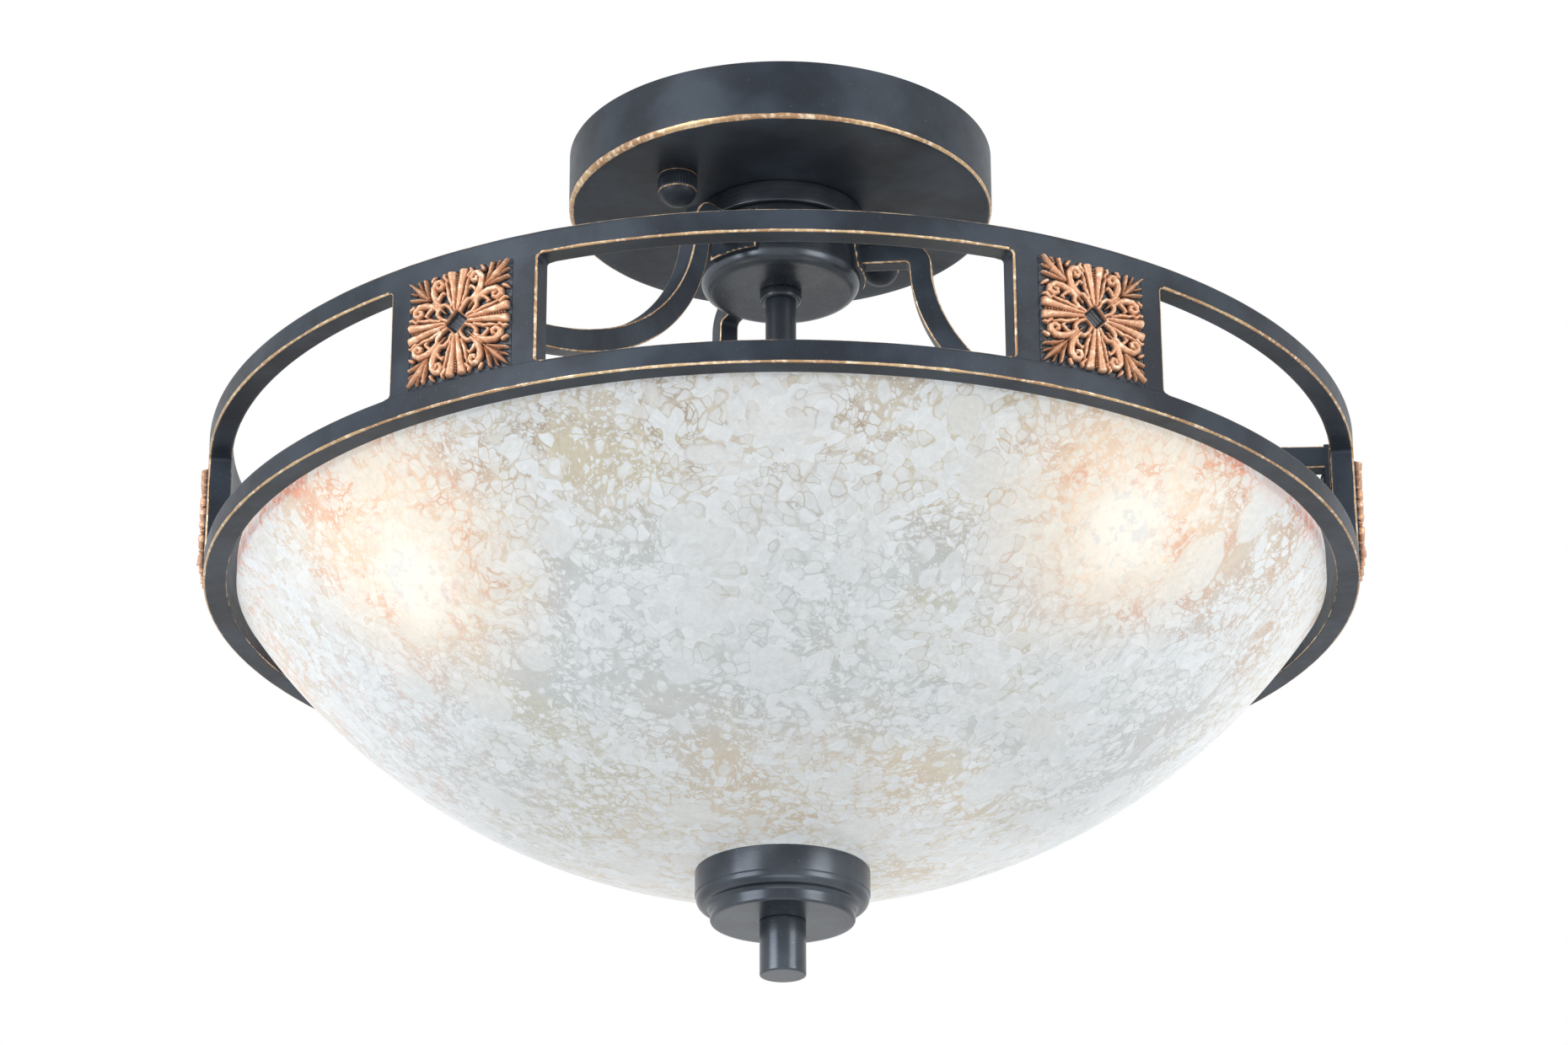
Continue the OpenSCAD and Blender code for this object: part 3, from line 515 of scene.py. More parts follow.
@dataclass(frozen=True)
class Frit:
    """How lumps and drops of frit lie over each other. Distances are in millimetres."""

    pebbles: tuple[Pebbles, ...] = (
        Pebbles(1.2, 0.24, 0.9, 0.3, 0.07), Pebbles(2.2, 0.32, 0.75, 0.3, 0.06),
        Pebbles(4.2, 0.36, 0.5, 0.24, 0.05),
    )
    drops: tuple[Drops, ...] = (Drops(8.0, 0.04, 0.36, 0.9), Drops(24.0, 0.1, 0.34, 0.8))
    gather: Noise = Noise(0.022, 5, 0.62)
    pale_ends: Pair = (0.45, 0.48)
    deep_ends: Pair = (0.5, 0.6)
    bulge_ends: Pair = (0.68, 0.54)
    shade: Pair = (0.65, 1.0)
    thin: float = 0.3
    deep_line: float = 0.08
    under: float = 0.6
    drop_offset: float = 3.0
    drop_edge: Pair = (0.3, -0.6)
    drop_rim: Pair = (0.5, 0.1)
    rim_share: float = 0.3
    drop_shade: float = 0.5

    def lay(self, g: Graph, wide: Link, fine: Link) -> tuple[Link, Link, Link]:
        """Lays lumps of each size and then the drops over each other.

        Args:
            g: The material's graph.
            wide: The place, bent over centimetres.
            fine: The place, bent over millimetres too.

        Returns:
            The share of white, the share of veins and the tone of each lump.
        """
        white: Link = 0.0
        lines: Link = 0.0
        tone: Link = WHITE
        for lump in self.pebbles:
            cell = g.cells(1 / lump.size, fine)
            luck = g.red(cell.outputs["Color"])
            gather = g.noise(self.gather, cell.outputs["Position"])
            gather = g.math("ADD", gather, g.line(luck, lump.spread, -lump.spread / 2))
            pale = g.step(gather, self.pale_ends)
            deep = g.step(gather, self.deep_ends)
            gap = g.cells(1 / lump.size, fine, "DISTANCE_TO_EDGE").outputs["Distance"]
            gap = g.times(gap, lump.size)
            bulge = g.step(cell.outputs["Distance"], self.bulge_ends)
            body = g.most(g.times(g.step(gap, (lump.line * self.thin, lump.line)), bulge), deep)
            shade = g.times(body, g.blend(luck, self.shade))
            strength = g.blend(deep, (lump.strength, self.deep_line))
            line = g.times(g.step(gap, (lump.line, lump.line * self.thin)), strength)
            white = g.lay(pale, white, shade)
            lines = g.lay(pale, g.most(g.times(line, self.under), lines), line)
            tone = g.tint(tone, g.mix(luck, (1 - lump.tone,) * 3, WHITE))
        for drops in self.drops:
            cell = g.cells(1 / drops.size, g.vector("ADD", wide, drops.size * self.drop_offset))
            luck = g.red(cell.outputs["Color"])
            reach = g.line(luck, -drops.spread, cell.outputs["Distance"])
            reach = g.times(g.math("SUBTRACT", reach, drops.least), drops.size)
            inside = g.step(reach, self.drop_edge)
            rim = g.times(g.step(g.math("ABSOLUTE", reach), self.drop_rim), self.rim_share)
            white = g.lay(inside, white, g.blend(luck, (self.drop_shade, drops.power)))
            lines = g.most(g.lay(inside, lines, 0.0), rim)
        return white, lines, tone


@dataclass(frozen=True)
class MarbledGlass:
    """White frit glass: lumps and drops that gather in clouds over a lace of veins, lit from inside by a
    painted glow: emission and warm colour round the lamps stand in for their light through the glass.

    Places and distances are in millimetres. Threes are for the rim, the middle and the bottom.
    """

    name: str
    glows: tuple[Corner, ...]
    frit: Frit = Frit()
    rim_z: float = -181.0
    rim_r: float = 198.0
    # Angles, in degrees, of the painted red glow on the rim beside the lamps.
    red_glow_turns: tuple[float, ...] = (-158.0, -28.0, 80.0)
    cloud: Colour = srgb("e2e7ea")
    # Painted glow: the white frit's colour in the lamps' halo.
    glow_cloud: Colour = srgb("f2ebdd")
    grounds: tuple[Colour, Colour, Colour] = (srgb("d4cec1"), srgb("cdd3d4"), srgb("d9d2c3"))
    veins: tuple[Colour, Colour, Colour] = (srgb("8f7a66"), srgb("aeb4b3"), srgb("bf9f7b"))
    olive: Colour = srgb("d0c9af")
    # Painted lamp light on the veins: ember on the right, blush on the left and in the halo.
    glow_ember: Colour = srgb("bd8462")
    glow_blush: Colour = srgb("e29f80")
    # Painted glow colours: peach and hot in the lamps' halo, cream and fleck in the bright core over each
    # lamp.
    glow_peach: Colour = srgb("f7e0c8")
    glow_hot: Colour = srgb("f4cbae")
    glow_cream: Colour = srgb("fbf8ee")
    fleck: Colour = srgb("e2e6e6")
    # Colour of the painted red glow near the rim.
    red: Colour = srgb("ee8868")
    level_wave: Noise = Noise(0.02, 3)
    level_mm: float = 50.0
    top_z: Pair = (-212.0, -176.0)
    low_z: Pair = (-232.0, -256.0)
    wide_warp: tuple[Noise, float] = (Noise(0.045), 14.0)
    fine_warp: tuple[Noise, float] = (Noise(0.35), 1.7)
    olives: Patches = Patches(Noise(0.02, 4), 0.5, 0.62)
    olive_share: float = 0.5
    glow_hots: Patches = Patches(Noise(0.05, 4, 0.6), 0.5, 0.66)
    # Where across the veins take the painted lamp light, in millimetres.
    glow_ember_x: Pair = (100.0, 165.0)
    glow_blush_x: Pair = (-90.0, -140.0)
    vein_levels: Pair = (0.5, 0.8)
    vein_patches: Patches = Patches(Noise(0.05, 5, 0.65), 0.44, 0.6)
    vein_shares: Pair = (0.2, 1.0)
    flecks: Patches = Patches(Noise(0.2, 3, 0.6), 0.5, 0.6)
    fleck_share: float = 0.9
    core_share: float = 0.8
    gain_ends: Pair = (140.0, 15.0)
    halo_ends: Pair = (72.0, 16.0)
    core_ends: Pair = (30.0, 5.0)
    red_ends: Pair = (75.0, 25.0)
    rim_wave: Noise = Noise(0.14, 3)
    rim_mm: float = 14.0
    rim_ends: Pair = (-178.0, -172.0)
    rim_bare: float = 0.85
    rim_share: float = 0.65
    # Painted glow: where the emission grows stronger at the sides and at the lower right, and how strong it
    # is.
    side_x: Pair = (80.0, 180.0)
    right_x: Pair = (5.0, 70.0)
    glow: float = 0.535
    side_glow: float = 0.2
    lamp_glow: float = 0.1
    right_glow: float = 0.12
    albedo: float = 0.42
    roughness: float = 0.32
    specular: float = 0.25
    bump_mm: float = 0.04
    bump_strength: float = 0.3

    def material(self) -> Finish:
        """Builds the finish."""
        g = Graph(self.name)
        across, _, height = g.axes()
        level = g.line(g.noise(self.level_wave), self.level_mm, height)
        top = g.step(level, self.top_z)
        low = g.step(level, self.low_z)
        wide = self.warp(g, g.place, *self.wide_warp)
        fine = self.warp(g, wide, *self.fine_warp)
        white, lines, tone = self.frit.lay(g, wide, fine)
        # Painted light: halo, core and gain are the shares of the painted lamp glow on the glass.
        halo, core, gain = self.glow_shares(g, fine)
        ground = self.by_level(g, top, low, self.grounds)
        ground = g.mix(g.times(g.patches(self.olives), self.olive_share), ground, self.olive)
        # Painted glow: in the lamps' halo the ground turns peach and the white frit turns warm.
        ground = g.mix(halo, ground, g.mix(g.patches(self.glow_hots), self.glow_peach, self.glow_hot))
        colour = g.mix(white, ground, g.mix(halo, self.cloud, self.glow_cloud))
        vein = self.by_level(g, top, low, self.veins)
        # Painted lamp light on the veins: orange towards the right lamp, pink towards the left lamp and in
        # the halo.
        vein = g.mix(g.step(across, self.glow_ember_x), vein, self.glow_ember)
        vein = g.mix(g.most(g.step(across, self.glow_blush_x), halo), vein, self.glow_blush)
        share = g.blend(g.patches(self.vein_patches), self.vein_shares)
        share = g.times(lines, g.times(g.blend(top, self.vein_levels), share))
        colour = g.mix(share, g.tint(colour, tone), vein)
        # Painted glow: a bright cream core over each lamp.
        bright = g.mix(g.times(g.patches(self.flecks), self.fleck_share), self.glow_cream, self.fleck)
        colour = g.mix(g.times(core, self.core_share), colour, bright)
        # Painted red glow near the rim, beside the lamps.
        colour = self.paint_rim_glow(g, colour, white, height)
        # Painted glow: emission all over, stronger towards the sides, round the lamps and at the lower right.
        power = g.line(g.step(g.math("ABSOLUTE", across), self.side_x), self.side_glow, self.glow)
        power = g.line(gain, self.lamp_glow, power)
        power = g.line(g.times(g.step(across, self.right_x), low), self.right_glow, power)
        return g.finish(Base_Color=g.vector("SCALE", colour, scale=self.albedo), Roughness=self.roughness,
                        Specular_IOR_Level=self.specular, Emission_Color=colour, Emission_Strength=power,
                        Normal=g.bump(white, self.bump_mm, self.bump_strength))

    @staticmethod
    def by_level(g: Graph, top: Link, low: Link, colours: tuple[Colour, Colour, Colour]) -> Link:
        """Mixes the colours of the rim, the middle and the bottom."""
        return g.mix(low, g.mix(top, colours[1], colours[0]), colours[2])

    @staticmethod
    def warp(g: Graph, place: Link, noise: Noise, reach: float) -> Link:
        """Shifts a place by noise, up to about half of reach each way."""
        shift = g.vector("SUBTRACT", g.noise(noise, place, colour=True), (0.5, 0.5, 0.5))
        return g.vector("ADD", place, g.vector("SCALE", shift, scale=reach))

    def glow_shares(self, g: Graph, fine: Link) -> tuple[Link, Link, Link]:
        """Gives the shares of the painted lamp glow: its halo, its core and the light around the lamps.

        Args:
            g: The material's graph.
            fine: The place, bent over millimetres.

        Returns:
            The three shares.
        """
        halo: Link = 0.0
        core: Link = 0.0
        gain: Link = 0.0
        for x, y, z in self.glows:
            out = (3 + self.rim_r / math.hypot(x, y)) / 4
            above = (x * out, y * out, (3 * z + self.rim_z) / 4)
            gain = g.most(gain, self.round_spot(g, g.place, (x, y, z), self.gain_ends))
            halo = g.most(halo, self.round_spot(g, fine, above, self.halo_ends))
            core = g.most(core, self.round_spot(g, fine, (x, y, z), self.core_ends))
        return halo, core, gain

    @staticmethod
    def round_spot(g: Graph, place: Link, centre: Corner, ends: Pair) -> Link:
        """Gives a round spot that rises towards its centre between two distances."""
        return g.step(g.vector("DISTANCE", place, centre), ends)

    def paint_rim_glow(self, g: Graph, colour: Link, white: Link, height: Link) -> Link:
        """Adds a painted red glow where the lamps stand nearest to the glass's rim.

        Args:
            g: The material's graph.
            colour: The colour so far.
            white: The share of white frit.
            height: The level, in millimetres.

        Returns:
            The colour with the painted red glow in it.
        """
        # Painted red glow: strongest at the rim beside each lamp, weaker over white frit.
        glow_hot: Link = 0.0
        for turn in self.red_glow_turns:
            angle = math.radians(turn)
            spot = (self.rim_r * math.cos(angle), self.rim_r * math.sin(angle), self.rim_z)
            glow_hot = g.most(glow_hot, self.round_spot(g, g.place, spot, self.red_ends))
        near_rim = g.step(g.line(g.noise(self.rim_wave), self.rim_mm, height), self.rim_ends)
        red_glow_share = g.times(g.times(near_rim, glow_hot), g.line(white, -self.rim_bare, 1.0))
        return g.mix(g.times(red_glow_share, self.rim_share), colour, self.red)


@dataclass(frozen=True)
class Plain:
    """A plain material with a grain, a little uneven in colour and gloss."""

    name: str
    colour: Colour
    other: Colour
    roughness: float
    metallic: float = 0.0
    grain: Noise = Noise(0.6, 3)
    grain_mm: float = 0.02
    grain_gloss: float = 0.16
    others: Patches = Patches(Noise(0.08), 0.3, 0.7)

    def material(self) -> Finish:
        """Builds the finish."""
        g = Graph(self.name)
        grain = g.noise(self.grain)
        rough = g.line(grain, self.grain_gloss, self.roughness - self.grain_gloss / 2)
        return g.finish(Base_Color=g.mix(g.patches(self.others), self.colour, self.other), Roughness=rough,
                        Metallic=self.metallic, Normal=g.bump(grain, self.grain_mm))


@dataclass(frozen=True)
class FrostedLamp:
    """Frosted lamp glass that glows."""

    name: str
    colour: Colour = srgb("fff1d6")
    other: Colour = srgb("fffaf0")
    cloud: Noise = Noise(0.1)
    grain: Noise = Noise(0.8)
    grain_mm: float = 0.01
    roughness: float = 0.5
    power: float = 0.85

    def material(self) -> Finish:
        """Builds the finish."""
        g = Graph(self.name)
        colour = g.mix(g.noise(self.cloud), self.colour, self.other)
        return g.finish(Base_Color=colour, Roughness=self.roughness, Emission_Color=colour,
                        Emission_Strength=self.power, Normal=g.bump(g.noise(self.grain), self.grain_mm))


def rounded(corners: Sequence[Corner], pieces: int = 4) -> Array:
    """Rounds the corners of a closed outline.

    Args:
        corners: Each corner as (x, y, radius).
        pieces: Number of straight pieces that stand for each arc.

    Returns:
        The outline's points, as an array of pairs.
    """
    out: list[Array] = []
    count = len(corners)
    for k, (x, y, radius) in enumerate(corners):
        spot = np.array([x, y])
        back = np.array(corners[k - 1][:2]) - spot
        ahead = np.array(corners[(k + 1) % count][:2]) - spot
        back /= np.hypot(*back)
        ahead /= np.hypot(*ahead)
        if radius <= 0 or back @ ahead < -0.9999:
            out.append(spot)
            continue
        half = math.acos(float(np.clip(back @ ahead, -1, 1))) / 2
        middle = spot + (back + ahead) / np.hypot(*(back + ahead)) * radius / math.sin(half)
        start = spot + back * radius / math.tan(half) - middle
        end = spot + ahead * radius / math.tan(half) - middle
        turn = math.atan2(start[0] * end[1] - start[1] * end[0], float(start @ end))
        for step in range(pieces + 1):
            a = turn * step / pieces
            c, s = math.cos(a), math.sin(a)
            out.append(middle + np.array([c * start[0] - s * start[1], s * start[0] + c * start[1]]))
    return np.array(out)


def fine(points: Array, longest: float, closed: bool = True) -> Array:
    """Adds points so that no piece of an outline is longer than a limit.

    Args:
        points: The outline.
        longest: Greatest length of a piece, in millimetres.
        closed: True if the last point joins the first.

    Returns:
        The outline with its extra points.
    """
    out: list[Array] = []
    last = len(points) if closed else len(points) - 1
    for k in range(last):
        a, b = points[k], points[(k + 1) % len(points)]
        parts = max(1, math.ceil(float(np.hypot(*(b - a))) / longest))
        out.extend(a + (b - a) * step / parts for step in range(parts))
    if not closed:
        out.append(points[-1])
    return np.array(out)


def arc(x: float, y: float, radius: float, start: float, end: float, count: int) -> list[Pair]:
    """Gives points on an arc.

    Args:
        x: Middle of the arc, across.
        y: Middle of the arc, up.
        radius: Its radius.
        start: Angle of the first point, in radians.
        end: Angle of the last point, in radians.
        count: Number of points.

    Returns:
        The points, as pairs.
    """
    return [(x + radius * math.cos(a), y + radius * math.sin(a)) for a in np.linspace(start, end, count)]


def round_z(radius: Array, angle: Array, level: Array) -> Array:
    """Places points by their radius, their angle in radians and their level."""
    return np.stack(np.broadcast_arrays(radius * np.cos(angle), radius * np.sin(angle), level), axis=-1)


def edge_of(grid: Array) -> Array:
    """Gives the points round the edge of a grid, in order."""
    return np.concatenate([grid[0, :-1], grid[:-1, -1], grid[-1, :0:-1], grid[:0:-1, 0]])


class Surface:
    """Points and faces of one piece, in millimetres, with one number on each point."""

    merge_m = 2e-7

    def __init__(self, name: str, mark: str = "wear", unmarked: float = 9.0) -> None:
        """Starts an empty piece.

        Args:
            name: Name of the piece.
            mark: Name of the number that each point carries.
            unmarked: Its value where no other is given.
        """
        self.name = name
        self.mark = mark
        self.unmarked = unmarked
        self.spots: list[Array] = []
        self.marks: list[Array] = []
        self.faces: list[tuple[int, ...]] = []
        self.count = 0

    def loft(self, grid: Array, marks: Array | None = None, loop: bool = False, ring: bool = True,
             caps: bool = False) -> None:
        """Adds a skin over rows of points.

        Args:
            grid: Points, as rows x columns x 3.
            marks: The number on each point, or None.
            loop: True if the last row joins the first.
            ring: True if the last column joins the first.
            caps: True to close the first and the last row.
        """
        rows, columns = grid.shape[:2]
        ids = np.arange(rows * columns).reshape(rows, columns) + self.count
        if caps:
            ends = [tuple(ids[0].tolist()), tuple(ids[-1].tolist())]
        if loop:
            ids = np.vstack([ids, ids[:1]])
        if ring:
            ids = np.hstack([ids, ids[:, :1]])
        quads = np.stack([ids[:-1, :-1], ids[:-1, 1:], ids[1:, 1:], ids[1:, :-1]], axis=-1).reshape(-1, 4)
        self.faces.extend(map(tuple, quads.tolist()))
        if caps:
            self.faces.extend(ends)
        self.spots.append(grid.reshape(-1, 3))
        given = np.full(grid.shape[:2], self.unmarked) if marks is None else marks
        self.marks.append(np.broadcast_to(given, grid.shape[:2]).reshape(-1))
        self.count += rows * columns

    def turn(self, profile: Array, columns: int = 192, ridge: Measure | None = None,
             wear: Measure | None = None, frame_at: Matrix | None = None, closed: bool = True) -> None:
        """Turns a profile round the Z axis.

        Args:
            profile: Pairs of radius and level.
            columns: Number of steps round the axis.
            ridge: Adds to the radius, from radius, angle and level.
            wear: Gives each point's number, from radius, angle and level.
            frame_at: Where the turned shape is placed, in millimetres; the origin if left out.
            closed: True if the profile's last point joins its first.
        """
        angle = np.linspace(0, FULL_TURN, columns, endpoint=False)[None, :]
        radius = np.broadcast_to(profile[:, :1], (len(profile), columns))
        level = np.broadcast_to(profile[:, 1:2], (len(profile), columns))
        marks = None if wear is None else wear(radius, angle, level)
        if ridge is not None:
            radius = radius + ridge(radius, angle, level)
        grid = round_z(radius, angle, level)
        if frame_at is not None:
            rows = np.array(frame_at)
            grid = grid @ rows[:3, :3].T + rows[:3, 3]
        self.loft(grid, marks, loop=closed)

    def make(self, finish: Finish, sharp: float = SHARP) -> bpy.types.Object:
        """Builds the object.

        Args:
            finish: Its material.
            sharp: Least angle of an edge that stays sharp, in degrees.

        Returns:
            The object, in the scene.
        """
        mesh = bpy.data.meshes.new(self.name)
        mesh.from_pydata((np.concatenate(self.spots) * MM).tolist(), [], self.faces)
        mesh.attributes.new(self.mark, "FLOAT", "POINT").data.foreach_set("value", np.concatenate(self.marks))
        work = bmesh.new()
        work.from_mesh(mesh)
        bmesh.ops.remove_doubles(work, verts=work.verts[:], dist=self.merge_m)
        bmesh.ops.recalc_face_normals(work, faces=work.faces[:])
        work.to_mesh(mesh)
        work.free()
        mesh.shade_smooth()
        mesh.set_sharp_from_angle(angle=math.radians(sharp))
        mesh.materials.append(finish)
        return add_object(self.name, mesh)


def fit(piece: bpy.types.Object, body: Body, node: str, slot: str) -> None:
    """Ties a finished piece to its body, hides the CAD node that it stands for and logs its material slot.

    Args:
        piece: The piece.
        body: The body that it rides on.
        node: The CAD node that it stands for.
        slot: Its material slot.
    """
    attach(piece, body.value)
    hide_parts(node)
    LOG.info("%s stands for %s on %s, in %s", piece.name, node, body.value, slot)


@dataclass(frozen=True)
class Turned:
    """One turned piece: its name, the CAD node it stands for, its body and its slot."""

    name: str
    node: str
    body: Body
    slot: str
    sharp: float = SHARP

    def build(self, profile: Array, finish: Finish, columns: int = 192, **shape: object) -> None:
        """Turns and ties the piece.

        Args:
            profile: Pairs of radius and level.
            finish: Its material.
            columns: Number of steps round the axis.
            **shape: Further arguments of Surface.turn.
        """
        piece = Surface(self.name)
        piece.turn(profile, columns, **shape)
        fit(piece.make(finish, self.sharp), self.body, self.node, self.slot)


def near(spots: Sequence[Pair], half_width: float) -> Measure:
    """Measures wear round the Z axis.

    Args:
        spots: Rubbed edges, as pairs of radius and level.
        half_width: Half the width of a rubbed line, in millimetres.

    Returns:
        A function of radius, angle and level that is under 1 on the rubbed lines.
    """

    def wear(radius: Array, angle: Array, level: Array) -> Array:
        """Gives the distance to the nearest rubbed edge, in half widths."""
        gaps = [np.hypot(radius - r, level - z) for r, z in spots]
        return np.minimum.reduce(gaps) / half_width + 0 * angle

    return wear


@dataclass
class Canopy:
    """The pan against the ceiling and its two knurled cap nuts."""

    floor_edge: float = 2.2
    wall: float = 1.2
    rub_in: float = 0.4
    rub_up: float = 0.9
    # Widths of the rubbed line at the left and the right; the extra width on the left is a painted highlight.
    rub_and_sheen_left: float = 1.6
    rub_and_sheen_right: float = 0.7
    dome_h: float = 5.5
    knurls: int = 40
    knurl_depth: float = 0.35
    dome_in: float = 0.3
    neck_in: float = 0.35
    band_top: float = 1.6
    nut_flange: float = 0.9
    flange_out: float = 0.15
    nut_edge: float = 0.2
    seam: float = 0.1
    bore_r: float = 2.1
    bore_h: float = 7.0
    bore_tip: float = 1.2
    nut_rub: float = 0.35

    def build(self, coat: Finish) -> None:
        """Builds the pan and the cap nuts.

        Args:
            coat: Finish of the pan and the nuts.
        """
        size = Extent.of("canopy")
        edge, wall = self.floor_edge, self.wall
        r, low = size.outer, size.bottom
        outline = fine(rounded([
            (size.inner, low, 0), (r, low, edge), (r, 0, 0), (r - wall, 0, 0),
            (r - wall, low + wall, edge - wall), (size.inner, low + wall, 0),
        ], 6), 3.0)

        def wear(radius: Array, angle: Array, level: Array) -> Array:
            """Gives a rubbed line on the pan's edge, drawn wider on the left, where the extra width is a
            painted highlight.
            """
            side = 0.5 - 0.5 * np.cos(angle)
            width = self.rub_and_sheen_right + (self.rub_and_sheen_left - self.rub_and_sheen_right) * side
            return np.hypot(radius - (r - self.rub_in), level - (low + self.rub_up)) / width

        Turned("canopy_pan", "canopy", Body.FIXTURE, "gunmetal").build(outline, coat, 256, wear=wear)
        for node, body in (("cap_nut_1", Body.NUT_1), ("cap_nut_2", Body.NUT_2)):
            self.cap_nut(node, body, coat)

    def cap_nut(self, node: str, body: Body, coat: Finish) -> None:
        """Builds one cap nut: a thin flange, a knurled band and a dome.

        Args:
            node: Its CAD node.
            body: The body that it rides on.
            coat: Its finish.
        """
        low, high = corners_of(node)
        middle = (low + high) / 2
        r = (high[0] - low[0]) / 2
        top, dome_top = high[2], low[2] + self.dome_h
        dome_r, neck_r, flange_r = r - self.dome_in, r - self.neck_in, r + self.flange_out
        bulge = (r * r + self.dome_h**2) / (2 * self.dome_h)
        dome = [
            (bulge * math.sin(a), low[2] + bulge - bulge * math.cos(a))
            for a in np.linspace(0, math.asin(min(1.0, dome_r / bulge)), 16)
        ]
        band_z, flange_z = top - self.band_top, top - self.nut_flange
        band = [(dome_r, dome_top - self.seam), (r, dome_top + self.dome_in), (r, band_z)]
        rim = [
            (neck_r, band_z + self.neck_in), (neck_r, flange_z), (flange_r, flange_z + self.nut_edge),
            (flange_r, top - self.flange_out), (r - self.nut_edge, top),
        ]
        roof = top - self.bore_h
        bore = [(self.bore_r, top), (self.bore_r, roof), (0.0, roof - self.bore_tip)]

        def ridge(radius: Array, angle: Array, level: Array) -> Array:
            """Gives the knurls of the band."""
            on_band = (level > dome_top + self.nut_edge) & (level < band_z + self.seam)
            teeth = np.abs(((angle * self.knurls / FULL_TURN) % 1) * 2 - 1) - 0.5
            return np.where(on_band & (radius > r - self.nut_edge), teeth * self.knurl_depth, 0.0)

        Turned(f"{node}_knurled", node, body, "gunmetal", 50).build(
            fine(np.array(dome + band + rim + bore), 1.0, closed=False), coat, self.knurls * 4, ridge=ridge,
            wear=near([(r, top - self.dome_in), (r, dome_top)], self.nut_rub),
            frame_at=Matrix.Translation((middle[0], middle[1], 0)), closed=False,
        )


@dataclass
class Hub:
    """The flange, the cup that carries the arms, the collar and the sleeve."""

    skirt: float = 1.5
    plate: float = 3.0
    flange_edge: float = 0.8
    skirt_edge: float = 0.45
    skirt_inner_edge: float = 0.35
    wall: float = 3.0
    floor: float = 2.0
    neck_r: float = 28.0
    neck_edge: float = 0.3
    neck_bend: float = 3.0
    inner_bend: float = 2.0
    countersink: float = 0.5
    cup_edge: float = 4.4
    cup_out: float = 0.35
    collar_edge: float = 1.0
    sleeve_edge: float = 0.1

    def build(self, steel: Finish, coat: Finish) -> None:
        """Builds the turned pieces.

        Args:
            steel: Finish of the flange, the cup and the collar.
            coat: Finish of the sleeve.
        """
        flange = Extent.of("hub_flange")
        r, low, top = flange.outer, flange.bottom, flange.top
        inside, under = r - self.skirt, top - self.plate
        outline = fine(rounded([
            (flange.inner, top, 0), (r, top, self.flange_edge), (r, low, self.skirt_edge),
            (inside, low, self.skirt_inner_edge), (inside, under, self.flange_edge), (flange.inner, under, 0),
        ]), 2.0)
        Turned("hub_flange_dish", "hub_flange", Body.FIXTURE, "satin_gunmetal").build(outline, steel)
        self.cup(flange.bottom - self.cup_edge, steel)
        for node, edge, finish, slot in (("rod_collar", self.collar_edge, steel, "satin_gunmetal"),
                                         ("rod_sleeve", self.sleeve_edge, coat, "gunmetal")):
            size = Extent.of(node)
            outline = fine(rounded([
                (size.inner, size.bottom, 0), (size.outer, size.bottom, edge),
                (size.outer, size.top, edge / 2), (size.inner, size.top, 0),
            ]), 2.0)
            Turned(f"{node}_turned", node, Body.FIXTURE, slot).build(outline, finish, 96)

    def cup(self, neck_z: float, steel: Finish) -> None:
        """Builds the cup, whose neck ends at level neck_z.

        Args:
            neck_z: Level of the neck's lower end.
            steel: Its finish.
        """
        cup = Extent.of("hub_cup")
        wide, low, top = cup.outer, cup.bottom, cup.top
        neck, inside, wall = self.neck_r, self.neck_r - self.wall, self.wall
        outline = fine(rounded([
            (cup.inner, top - self.countersink, 0), (inside, top, 0), (neck, top, self.neck_edge),
            (neck, neck_z, self.neck_bend), (wide + self.cup_out, low, self.cup_edge), (cup.inner, low, 0),
            (cup.inner, low + wall, 0), (wide - wall - self.inner_bend, low + wall, self.inner_bend),
            (inside, neck_z, self.inner_bend), (inside, top - self.floor, self.neck_edge),
            (cup.inner, top - self.floor, 0),
        ], 8), 1.5)
        Turned("hub_cup_spun", "hub_cup", Body.FIXTURE, "satin_gunmetal").build(outline, steel)


